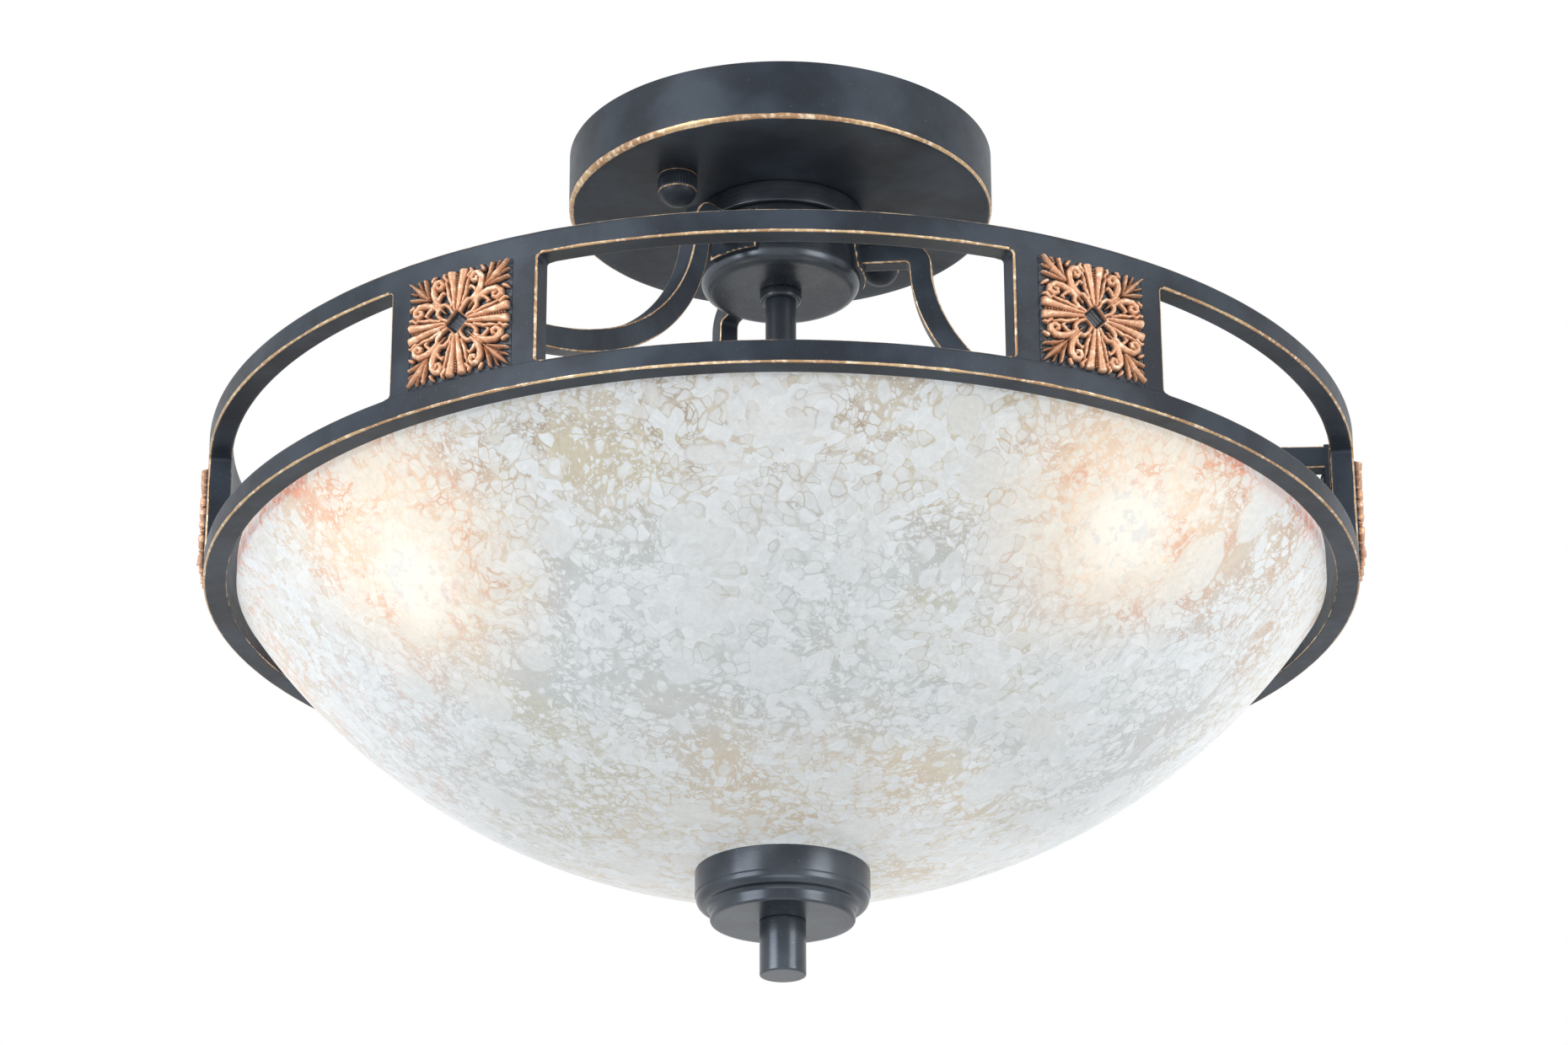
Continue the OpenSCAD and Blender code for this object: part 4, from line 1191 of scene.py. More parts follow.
@dataclass
class Arms:
    """Three bent square bars with their feet and domed screws."""

    turns: tuple[float, ...] = (-6.0, -126.0, -246.0)
    deep: float = 8.5
    wide: float = 7.5
    bevel: float = 0.7
    start_r: float = 29.5
    upright_r: float = 53.0
    upright_lean: float = 0.5
    bend_r: float = 6.0
    tab_z: float = -42.15
    end_z: float = -133.9
    end_press: float = 0.2
    bend_down_z: float = -88.9
    bend_out: float = 101.0
    line: float = 0.55
    hub_foot: Corner = (20.0, 17.0, 2.2)
    ring_foot: Corner = (10.0, 17.0, 2.2)
    hub_foot_top: float = -33.5
    ring_foot_top: float = -129.65
    foot_press: float = 0.1
    foot_bevel: float = 0.35
    foot_line: float = 0.4
    unworn: float = 9.0
    hub_wall: tuple[float, float, float, float] = (28.0, -36.0, 30.0, -51.0)
    screw_turn: float = 13.5
    hub_screw_down: float = 4.5
    ring_screw_down: float = 12.7
    screw_press: float = 0.3
    head_r: float = 2.8
    head_h: float = 1.9
    head_rim: float = 0.35
    head_step: float = 0.3
    head_in: float = 0.15
    shank_r: float = 1.45
    shank_l: float = 4.0
    shank_tip: float = 0.3
    cross_half: float = 0.42
    cross_depth: float = 0.8
    cross_reach: float = 0.55

    def build(self, coat: Finish, steel: Finish) -> None:
        """Builds the arms and the screws.

        Args:
            coat: Finish of the arms.
            steel: Finish of the screws.
        """
        for k, turn in enumerate(self.turns):
            arm = Surface(f"arm_{k + 1}_bar")
            self.bar(arm, math.radians(turn))
            self.feet(arm, math.radians(turn))
            fit(arm.make(coat), Body.FIXTURE, f"arm_{k + 1}", "gunmetal")
        head = self.screw_head(steel)
        z = self.hub_foot_top - self.hub_screw_down
        out = self.wall_r(z) + self.hub_foot[2] - self.screw_press
        turns = [turn + side * self.screw_turn for turn in self.turns for side in (-1, 1)]
        self.spread("hub_screw_heads", head, self.seats(turns, out, z, 1), steel, "hub_screws")
        z = self.ring_foot_top - self.ring_screw_down
        out = Extent.of("upper_hoop").inner - self.ring_foot[2]
        self.spread("ring_screw_heads", head, self.seats(self.turns, out, z, -1), steel, "ring_screws")
        bpy.data.objects.remove(head)

    @staticmethod
    def seats(turns: Sequence[float], out: float, z: float, way: int) -> list[tuple[Vector, Vector]]:
        """Gives the screws' seats.

        Args:
            turns: Angle of each seat, in degrees.
            out: Radius of the seats.
            z: Level of the seats.
            way: 1 where the heads look outwards, -1 where they look at the axis.

        Returns:
            Pairs of a place and the way its head looks.
        """
        rays = [Vector((math.cos(math.radians(turn)), math.sin(math.radians(turn)), 0)) for turn in turns]
        return [(ray * out + Vector((0, 0, z)), ray * way) for ray in rays]

    def wall_r(self, z: float) -> float:
        """Gives the hub wall's radius at level z."""
        r0, z0, r1, z1 = self.hub_wall
        return float(np.interp(-z, (-z0, -z1), (r0, r1)))

    def path(self) -> Array:
        """Gives the bar's centre line as pairs of radius and level.

        Returns:
            The points of the line.
        """
        inner = Extent.of("upper_hoop").inner
        elbow = (self.upright_r - self.bend_r, self.tab_z - self.bend_r)
        points = [(x, self.tab_z) for x in np.linspace(self.start_r, elbow[0], 8)]
        points += arc(*elbow, self.bend_r, math.pi / 2, 0, 9)[1:]
        pull = np.array([
            (self.upright_r, elbow[1]), (self.upright_r + self.upright_lean, self.bend_down_z),
            (inner - self.bend_out, self.end_z), (inner + self.end_press, self.end_z),
        ])
        for t in np.linspace(0, 1, 61)[1:]:
            weights = np.array([(1 - t) ** 3, 3 * (1 - t) ** 2 * t, 3 * (1 - t) * t * t, t**3])
            points.append(tuple(weights @ pull))
        return np.array(points)

    def bar(self, arm: Surface, turn: float) -> None:
        """Adds the bent bar.

        Args:
            arm: The arm's surface.
            turn: Angle of the arm, in radians.
        """
        path = self.path()
        way = np.gradient(path, axis=0)
        way /= np.hypot(way[:, 0], way[:, 1])[:, None]
        a, b = self.deep / 2, self.wide / 2
        corners = [(-a, -b, self.bevel), (a, -b, self.bevel), (a, b, self.bevel), (-a, b, self.bevel)]
        section = fine(rounded(corners, 3), 0.8)
        wear = np.hypot(np.abs(section[:, 0]) - a, np.abs(section[:, 1]) - b) / self.line
        radius = path[:, :1] - way[:, 1:] * section[None, :, 0]
        level = path[:, 1:] + way[:, :1] * section[None, :, 0]
        across = np.broadcast_to(section[None, :, 1], radius.shape)
        c, s = math.cos(turn), math.sin(turn)
        grid = np.stack([radius * c - across * s, radius * s + across * c, level], axis=-1)
        arm.loft(grid, np.broadcast_to(wear, radius.shape), caps=True)

    def feet(self, arm: Surface, turn: float) -> None:
        """Adds the foot that lies on the hub cup, and the one that lies against the band from inside.

        Args:
            arm: The arm's surface.
            turn: Angle of the arm, in radians.
        """
        width, height, thick = self.hub_foot
        half = width / 2 / (self.wall_r(self.hub_foot_top) + thick)
        levels = np.linspace(self.hub_foot_top, self.hub_foot_top - height, 12)
        base = np.array([self.wall_r(z) for z in levels]) - self.foot_press
        self.plate(arm, turn, np.linspace(-half, half, 17), levels, base, thick + self.foot_press)
        width, height, thick = self.ring_foot
        inner = Extent.of("upper_hoop").inner
        half = width / 2 / inner
        levels = np.linspace(self.ring_foot_top, self.ring_foot_top - height, 12)
        self.plate(arm, turn, np.linspace(-half, half, 9), levels, np.full(12, inner - thick), thick)

    def plate(self, arm: Surface, turn: float, sides: Array, levels: Array, base: Array,
              thick: float) -> None:
        """Adds a curved plate with a small bevel all round its face.

        Args:
            arm: The arm's surface.
            turn: Angle of the arm, in radians.
            sides: Angles of the plate's columns from there.
            levels: Levels of its rows.
            base: Radius of its back at each level.
            thick: Its thickness.
        """
        bevel = self.foot_bevel
        layers = []
        for lift, shrink in ((0.0, 0.0), (thick - bevel, 0.0), (thick, bevel)):
            angle = turn + sides * (1 - shrink / (abs(sides[0]) * base.mean()))
            middle = levels.mean()
            level = middle + (levels - middle) * (1 - 2 * shrink / (levels[0] - levels[-1]))
            layers.append(round_z((base + lift)[:, None], angle[None, :], level[:, None]))
        rim = np.array([edge_of(layer) for layer in layers])
        arm.loft(rim, np.array([[self.unworn], [self.foot_line], [self.foot_line]]))
        arm.loft(layers[0], ring=False)
        arm.loft(layers[2], ring=False)

    def screw_head(self, steel: Finish) -> bpy.types.Object:
        """Builds one domed head with a cross recess, standing on the origin.

        Args:
            steel: Its finish.

        Returns:
            The head's object.
        """
        r, h, rim = self.head_r, self.head_h, self.head_rim
        turns = np.linspace(0, math.pi / 2, 12)
        dome = [(r * math.sin(a), h * (rim + (1 - rim) * math.cos(a))) for a in turns]
        shank = [(r - self.head_in, 0.0), (self.shank_r, 0.0), (self.shank_r, -self.shank_l),
                 (0.0, -self.shank_l - self.shank_tip)]
        profile = fine(np.array(dome + shank), self.head_step, closed=False)
        angle = np.linspace(0, FULL_TURN, 64, endpoint=False)
        level = profile[:, 1:] + 0 * angle
        x, y = profile[:, :1] * np.cos(angle), profile[:, :1] * np.sin(angle)
        slot = np.minimum(np.abs(x), np.abs(y)) + np.clip(np.hypot(x, y) - r * self.cross_reach, 0, None)
        depth = np.clip(1 - (slot / self.cross_half) ** 4, 0, 1) * self.cross_depth
        head = Surface("screw_head")
        head.loft(np.stack([x, y, level - np.where(level > rim * h, depth, 0)], axis=-1))
        return head.make(steel)

    def spread(self, name: str, head: bpy.types.Object, seats: Sequence[tuple[Vector, Vector]], steel: Finish,
               node: str) -> None:
        """Copies the head onto its seats with a node tree, then turns the result into a plain mesh.

        Args:
            name: Name of the piece.
            head: The head's object.
            seats: Pairs of a place and the way its head looks.
            steel: Finish of the heads.
            node: The CAD node that the heads stand for.
        """
        mesh = bpy.data.meshes.new(name)
        mesh.from_pydata([tuple(spot * MM) for spot, _ in seats], [], [])
        aims = mesh.attributes.new("aim", "FLOAT_VECTOR", "POINT")
        aims.data.foreach_set("vector", [c for _, aim in seats for c in aim])
        holder = add_object(name, mesh)
        tree = bpy.data.node_groups.new(f"{name}_tree", "GeometryNodeTree")
        tree.interface.new_socket("Seats", in_out="INPUT", socket_type="NodeSocketGeometry")
        item = tree.interface.new_socket("Head", in_out="INPUT", socket_type="NodeSocketObject")
        paint = tree.interface.new_socket("Finish", in_out="INPUT", socket_type="NodeSocketMaterial")
        tree.interface.new_socket("Screws", in_out="OUTPUT", socket_type="NodeSocketGeometry")
        entry = tree.nodes.new("NodeGroupInput")
        leave = tree.nodes.new("NodeGroupOutput")
        points = tree.nodes.new("GeometryNodeMeshToPoints")
        points.inputs["Radius"].default_value = MM
        info = tree.nodes.new("GeometryNodeObjectInfo")
        aim = tree.nodes.new("GeometryNodeInputNamedAttribute")
        aim.data_type = "FLOAT_VECTOR"
        aim.inputs["Name"].default_value = "aim"
        align = tree.nodes.new("FunctionNodeAlignRotationToVector")
        align.axis = "Z"
        copy = tree.nodes.new("GeometryNodeInstanceOnPoints")
        real = tree.nodes.new("GeometryNodeRealizeInstances")
        coat = tree.nodes.new("GeometryNodeSetMaterial")
        link = tree.links.new
        link(entry.outputs[0], points.inputs["Mesh"])
        link(entry.outputs[1], info.inputs["Object"])
        link(points.outputs[0], copy.inputs["Points"])
        link(info.outputs["Geometry"], copy.inputs["Instance"])
        link(aim.outputs["Attribute"], align.inputs["Vector"])
        link(align.outputs["Rotation"], copy.inputs["Rotation"])
        link(copy.outputs[0], real.inputs[0])
        link(real.outputs[0], coat.inputs["Geometry"])
        link(entry.outputs[2], coat.inputs["Material"])
        link(coat.outputs[0], leave.inputs[0])
        modifier = holder.modifiers.new("spread", "NODES")
        modifier.node_group = tree
        modifier[item.identifier] = head
        modifier[paint.identifier] = steel
        bpy.context.view_layer.update()
        graph = bpy.context.evaluated_depsgraph_get()
        done = bpy.data.meshes.new_from_object(holder.evaluated_get(graph), depsgraph=graph)
        holder.modifiers.clear()
        holder.data = done
        done.shade_smooth()
        done.set_sharp_from_angle(angle=math.radians(SHARP))
        bpy.data.node_groups.remove(tree)
        bpy.data.meshes.remove(mesh)
        fit(holder, Body.FIXTURE, node, "satin_gunmetal")


@dataclass
class Band:
    """The windowed ring band: two hoops and six posts that meet without a seam."""

    posts: int = 6
    post_span: float = 16.0
    bevel: float = 0.7
    square: float = 0.02
    ease: float = 1.6
    fillet: float = 1.5
    turn: float = -0.5
    recess_w: float = 41.0
    recess_depth: float = 1.8
    line: float = 0.75
    inner_line: float = 0.4
    low_window_line: float = 0.375
    top_line: float = 0.4125
    top_inner_line: float = 0.3

    def build(self, coat: Finish) -> None:
        """Builds the hoops and the posts.

        Args:
            coat: Finish of the band.
        """
        upper = Extent.of("upper_hoop")
        lower = Extent.of("lower_hoop")
        self.hoop("upper_hoop", upper, True, coat)
        self.hoop("lower_hoop", lower, False, coat)
        for k in range(self.posts):
            self.post(k, upper, lower, coat)

    def hoop(self, node: str, size: Extent, is_upper: bool, coat: Finish) -> None:
        """Builds one hoop, whose bevels on the window side end at the posts.

        Args:
            node: Its CAD node.
            size: What that node measures.
            is_upper: True for the upper hoop.
            coat: Its finish.
        """
        window_z, free_z = (size.bottom, size.top) if is_upper else (size.top, size.bottom)
        window_line, free_line, far_line = (
            (self.line, self.top_line, self.top_inner_line) if is_upper
            else (self.low_window_line, self.line, self.inner_line)
        )
        half_post = math.radians(self.post_span / 2)
        step = FULL_TURN / self.posts
        start = half_post + self.fillet / size.outer
        ramp = np.linspace(0, self.ease / size.outer, 6)
        run = np.concatenate([
            np.linspace(-half_post, half_post, 9), start + ramp, np.linspace(start, step - start, 45)[1:-1],
            step - start - ramp[::-1],
        ])
        angles = (run[None, :] + step * np.arange(self.posts)[:, None]).ravel() + math.radians(self.turn)
        inside = np.tile(run, self.posts)
        room = np.clip((np.minimum(inside - start, step - start - inside)) / (self.ease / size.outer), 0, 1)
        gap = np.clip(start - np.minimum(inside, step - inside), 0, None) * size.outer
        rows, marks = [], []
        for share, away in zip(room, gap):
            soft = self.square + (self.bevel - self.square) * share
            section = self.even(rounded([
                (size.inner, window_z, soft), (size.outer, window_z, soft), (size.outer, free_z, self.bevel),
                (size.inner, free_z, self.bevel),
            ], 3))
            rows.append(section)
            marks.append(np.minimum.reduce([
                np.hypot(np.hypot(section[:, 0] - radius, section[:, 1] - level), beside) / line
                for radius, level, beside, line in (
                    (size.outer, window_z, away, window_line), (size.outer, free_z, 0.0, free_line),
                    (size.inner, window_z, away, self.inner_line), (size.inner, free_z, 0.0, far_line),
                )
            ]))
        section = np.array(rows)
        ring = Surface(f"{node}_ring")
        ring.loft(round_z(section[:, :, 0], angles[:, None], section[:, :, 1]), np.array(marks), loop=True)
        fit(ring.make(coat), Body.FIXTURE, node, "gunmetal")

    @staticmethod
    def even(outline: Array) -> Array:
        """Adds the same number of points to each straight side of a rounded rectangle.

        Args:
            outline: The rectangle, with four points on each corner.

        Returns:
            The outline with its extra points.
        """
        out: list[Array] = []
        count = len(outline)
        for k in range(count):
            a, b = outline[k], outline[(k + 1) % count]
            parts = 12 if k % 4 == 3 else 1
            out.extend(a + (b - a) * n / parts for n in range(parts))
        return np.array(out)

    def post(self, index: int, upper: Extent, lower: Extent, coat: Finish) -> None:
        """Builds one post, filleted into both hoops and recessed for its rosette.

        Args:
            index: Number of the post, from 0.
            upper: What the upper hoop measures.
            lower: What the lower hoop measures.
            coat: Its finish.
        """
        ro, ri = upper.outer, upper.inner
        half = math.radians(self.post_span / 2) * ro
        top, bottom = upper.bottom, lower.top
        f = self.fillet
        near_end = np.array([f - f * math.cos(a) for a in np.linspace(0, math.pi / 2, 7)])
        levels = np.concatenate([
            top - near_end, np.linspace(top - f, bottom + f, 16)[1:-1], bottom + near_end[::-1],
        ])
        rows, marks = [], []
        recess, back = self.recess_w / 2, ro - self.recess_depth
        for z in levels:
            d = min(top - z, z - bottom)
            w = half + (f - math.sqrt(max(0.0, f * f - (f - d) ** 2)) if d < f else 0.0)
            side = rounded([
                (w, ro, self.bevel), (w, ri, self.bevel), (-w, ri, self.bevel), (-w, ro, self.bevel),
            ], 3)
            spots = np.concatenate([
                self.span((recess, back), (recess, ro), 2), self.span((recess, ro), side[0], 8),
                side[:4], self.span(side[3], side[4], 8)[1:], side[5:8], self.span(side[7], side[8], 30)[1:],
                side[9:12], self.span(side[11], side[12], 8)[1:], side[13:16],
                self.span(side[15], (-recess, ro), 8)[1:], self.span((-recess, ro), (-recess, back), 2),
                self.span((-recess, back), (recess, back), 24),
            ])
            rows.append(spots)
            outer = np.hypot(np.abs(spots[:, 0]) - w, spots[:, 1] - ro) / self.line
            inner = np.hypot(np.abs(spots[:, 0]) - w, spots[:, 1] - ri) / self.inner_line
            marks.append(np.minimum(outer, inner))
        section = np.array(rows)
        angle = math.radians(self.turn) + FULL_TURN / self.posts * index + section[:, :, 0] / ro
        column = Surface(f"ring_post_{index + 1}_casting")
        column.loft(round_z(section[:, :, 1], angle, levels[:, None]), np.array(marks))
        fit(column.make(coat), Body.FIXTURE, f"ring_post_{index + 1}", "gunmetal")

    @staticmethod
    def span(a: Sequence[float], b: Sequence[float], parts: int) -> Array:
        """Gives points from a up to b, without b."""
        return np.linspace(np.array(a), np.array(b), parts, endpoint=False)


@dataclass(frozen=True)
class Stroke:
    """One raised line of the ornament, in units of half its width."""

    points: tuple[Pair, ...]
    widths: tuple[float, ...]
    height: float
    ridged: bool = False
    fullness: float = 1.25

    def raised(self, x: Array, y: Array) -> Array:
        """Gives the height over each place: half round, or roof-shaped where ridged.

        Args:
            x: Places across.
            y: Places up.

        Returns:
            The heights.
        """
        best = np.zeros_like(x)
        for k in range(len(self.points) - 1):
            a, b = np.array(self.points[k]), np.array(self.points[k + 1])
            way = b - a
            t = np.clip(((x - a[0]) * way[0] + (y - a[1]) * way[1]) / float(way @ way), 0, 1)
            gap = np.hypot(x - a[0] - t * way[0], y - a[1] - t * way[1])
            width = self.fullness * (self.widths[k] + (self.widths[k + 1] - self.widths[k]) * t)
            inside = np.clip(1 - gap / width, 0, 1)
            best = np.maximum(best, inside if self.ridged else np.sqrt(np.clip(1 - (1 - inside) ** 2, 0, 1)))
        return best * self.height


@dataclass
class Rosettes:
    """Six cast scrollwork panels, each a fine height field with eight-fold symmetry."""

    posts: int = 6
    cells: int = 190
    rise: float = 2.9
    turn: float = -0.5
    ring_r: float = 210.0
    recess: float = 1.8
    plate: float = 2.2
    floor: float = 0.45
    width: float = 40.6
    taller: float = 1.02
    strokes: tuple[Stroke, ...] = (
        Stroke(((0.24, 0.03), (0.5, 0.055), (0.72, 0.085), (0.93, 0.12)), (0.025, 0.04, 0.055, 0.075), 0.95),
        Stroke(((0.34, 0.1), (0.52, 0.17), (0.66, 0.19), (0.8, 0.23)), (0.03, 0.04, 0.035, 0.02), 0.7),
        Stroke(((0.82, 0.2), (0.9, 0.27), (0.97, 0.25)), (0.03, 0.035, 0.02), 0.75),
        Stroke(((0.2, 0.08), (0.3, 0.13), (0.38, 0.22), (0.38, 0.33)), (0.03, 0.035, 0.035, 0.03), 0.85),
        Stroke(((0.36, 0.3), (0.46, 0.4), (0.6, 0.46), (0.74, 0.47), (0.83, 0.41), (0.84, 0.33), (0.77, 0.28),
                (0.7, 0.31), (0.7, 0.37), (0.75, 0.38)),
               (0.03, 0.05, 0.055, 0.05, 0.045, 0.04, 0.038, 0.035, 0.03, 0.025), 0.95),
        Stroke(((0.46, 0.38), (0.55, 0.34), (0.62, 0.27), (0.58, 0.24)), (0.03, 0.035, 0.03, 0.02), 0.75),
        Stroke(((0.55, 0.55), (0.74, 0.74), (0.96, 0.96)), (0.02, 0.075, 0.02), 1.0, True),
        Stroke(((0.6, 0.56), (0.78, 0.62), (0.97, 0.66)), (0.02, 0.05, 0.04), 0.85, True),
        Stroke(((0.84, 0.74), (0.97, 0.8)), (0.03, 0.03), 0.7, True),
        Stroke(((0.22, 0.22), (0.34, 0.34), (0.5, 0.5)), (0.02, 0.04, 0.02), 0.7, True),
        Stroke(((0.88, 0.5), (0.97, 0.45)), (0.035, 0.03), 0.7),
    )
    beads: Corner = (0.3, 0.9, 0.05)
    bead_r: float = 0.022
    bead_h: float = 0.6
    lozenge: float = 0.19
    lozenge_h: float = 0.1
    frame_at: float = 0.24
    frame_w: float = 0.025
    frame_h: float = 0.75
    lump_h: float = 0.045
    fade: float = 0.05
    highest: float = 1.1

    def height(self, u: Array, v: Array) -> Array:
        """Gives the relief from 0 to 1 over places from -1 to 1.

        Args:
            u: Places across.
            v: Places up.

        Returns:
            The heights.
        """
        a, b = np.abs(u), np.abs(v)
        x, y = np.maximum(a, b), np.minimum(a, b)
        relief = np.zeros_like(x)
        for stroke in self.strokes:
            relief = np.maximum(relief, stroke.raised(x, y))
        for spot in np.arange(*self.beads):
            bead = np.sqrt(np.clip(1 - (np.hypot(x - spot, y) / self.bead_r) ** 2, 0, 1))
            relief = np.maximum(relief, self.bead_h * bead)
        diamond = a + b
        border = self.frame_h * np.exp(-(((diamond - self.frame_at) / self.frame_w) ** 2))
        relief = np.where(diamond < self.lozenge, self.lozenge_h, np.maximum(relief, border))
        lumps = np.sin(u * 37 + 3 * np.sin(v * 11)) * np.sin(v * 41 + 2 * np.sin(u * 13))
        return np.clip(relief + self.lump_h * lumps, 0, self.highest) * np.clip((1.0 - x) / self.fade, 0, 1)

    def build(self, finish: Finish) -> None:
        """Builds the six panels.

        Args:
            finish: Finish of the panels.
        """
        line = np.linspace(-1, 1, self.cells)
        u, v = np.meshgrid(line, line)
        relief = self.height(u, v)
        back = self.ring_r - self.recess
        half_turn = self.width / 2 / self.ring_r
        ends = np.array([-1.0, 1.0])
        for k in range(self.posts):
            node = f"rosette_{k + 1}"
            low, high = corners_of(node)
            turn = math.radians(self.turn) + FULL_TURN / self.posts * k
            half_h = (high[2] - low[2]) / 2 * self.taller
            middle = (high[2] + low[2]) / 2
            lift = self.plate - self.floor + self.rise * relief
            face = round_z(back + lift, turn + u * half_turn, middle + v * half_h)
            rim = edge_of(face)
            foot = rim.copy()
            foot[:, :2] *= back / np.hypot(rim[:, 0], rim[:, 1])[:, None]
            corners = (turn + ends[None, :] * half_turn, middle + ends[:, None] * half_h)
            panel = Surface(f"{node}_panel", "relief", 0.0)
            panel.loft(face, relief, ring=False)
            panel.loft(np.array([rim, foot]))
            panel.loft(round_z(np.array([back]), *corners), ring=False)
            fit(panel.make(finish, 60), Body.FIXTURE, node, "copper_relief")


@dataclass
class Lamps:
    """Three screw-cap lamps."""

    turns: tuple[float, ...] = (-40.0, -160.0, -280.0)
    level: float = -189.0
    tip: float = 42.0
    tip_r: float = 3.6
    cone_r: float = 11.6
    cone_l: float = 4.0
    cap_l: float = 27.0
    cap_r: float = 13.1
    pitch: float = 3.6
    thread: float = 0.9
    whole: float = 108.0
    globe_r: float = 30.0
    globe_lean: float = 1.05
    glass: float = 0.8
    neck_r: float = 12.0
    root_in: float = 0.5
    neck_in: float = 0.2
    shell_step: float = 0.3

    def build(self, metal: Finish, frost: Finish) -> None:
        """Builds the caps and the bulbs.

        Args:
            metal: Finish of the caps.
            frost: Finish of the bulbs.
        """
        for k, (turn, body) in enumerate(zip(self.turns, (Body.BULB_1, Body.BULB_2, Body.BULB_3))):
            place = Matrix.Translation((0, 0, self.level)) @ Matrix.Rotation(math.radians(turn), 4, "Z")
            place = place @ Matrix.Rotation(math.radians(90), 4, "Y")
            self.cap(k + 1, body, place, metal)
            self.globe(k + 1, body, place, frost)

    def cap(self, number: int, body: Body, place: Matrix, metal: Finish) -> None:
        """Builds one cap with its rolled thread.

        Args:
            number: Number of the lamp, from 1.
            body: The body that it rides on.
            place: Where its axis starts and how it lies.
            metal: Its finish.
        """
        start, end = self.tip + self.cone_l, self.tip + self.cap_l
        root, neck = self.cap_r - self.root_in, self.neck_r - self.neck_in
        tip = [(0, self.tip), (self.tip_r, self.tip), (self.tip_r + 1.2, self.tip + 0.9),
               (self.tip_r + 1.6, self.tip + 1.2)]
        shell = fine(np.array([(root, start + 0.6), (root, end - 1.2)]), self.shell_step, closed=False)
        lip = [(self.cap_r - 0.1, end - 0.8), (self.cap_r - 0.2, end), (neck, end - 0.2)]
        inner = [(neck, start + 2.5), (0, start + 1.5)]
        profile = np.concatenate([np.array(tip + [(self.cone_r, start)]), shell, np.array(lip + inner)])

        def ridge(radius: Array, angle: Array, level: Array) -> Array:
            """Gives the thread."""
            on_shell = (level > start + 0.8) & (level < end - 1.3) & (radius > self.cap_r - 1)
            return np.where(on_shell, self.thread / 2 * np.cos(FULL_TURN * level / self.pitch - angle), 0.0)

        Turned(f"lamp_cap_{number}_threaded", f"lamp_cap_{number}", body, "lamp_cap_metal", 50).build(
            profile, metal, 96, ridge=ridge, frame_at=place, closed=False)

    def globe(self, number: int, body: Body, place: Matrix, frost: Finish) -> None:
        """Builds one frosted bulb with its neck.

        Args:
            number: Number of the lamp, from 1.
            body: The body that it rides on.
            place: Where its axis starts and how it lies.
            frost: Its finish.
        """
        end = self.tip + self.cap_l
        centre = self.tip + self.whole - self.globe_r
        lean = math.asin((self.globe_r - self.neck_r) / (centre - end)) * self.globe_lean
        ball = arc(0, centre, self.globe_r, -lean, math.pi / 2, 32)
        neck = [(self.neck_r - 0.3, end - 4), (self.neck_r - 0.1, end), (self.neck_r + 0.6, end + 1.5)]
        outer = np.array(neck + self.ease(neck[-1], ball[0], 12) + ball)
        inner = outer[::-1].copy()
        inner[:, 0] = np.clip(inner[:, 0] - self.glass, 0, None)
        inner[: len(ball) // 2, 1] -= self.glass
        Turned(f"lamp_globe_{number}_frosted", f"lamp_globe_{number}", body, "frosted_lamp").build(
            np.concatenate([outer, inner[1:]]), frost, 96, frame_at=place)

    @staticmethod
    def ease(a: Pair, b: Pair, parts: int) -> list[Pair]:
        """Gives points between a and b on a soft curve."""
        shares = [n / parts for n in range(1, parts)]
        return [(a[0] + (b[0] - a[0]) * t**1.25, a[1] + (b[1] - a[1]) * t) for t in shares]


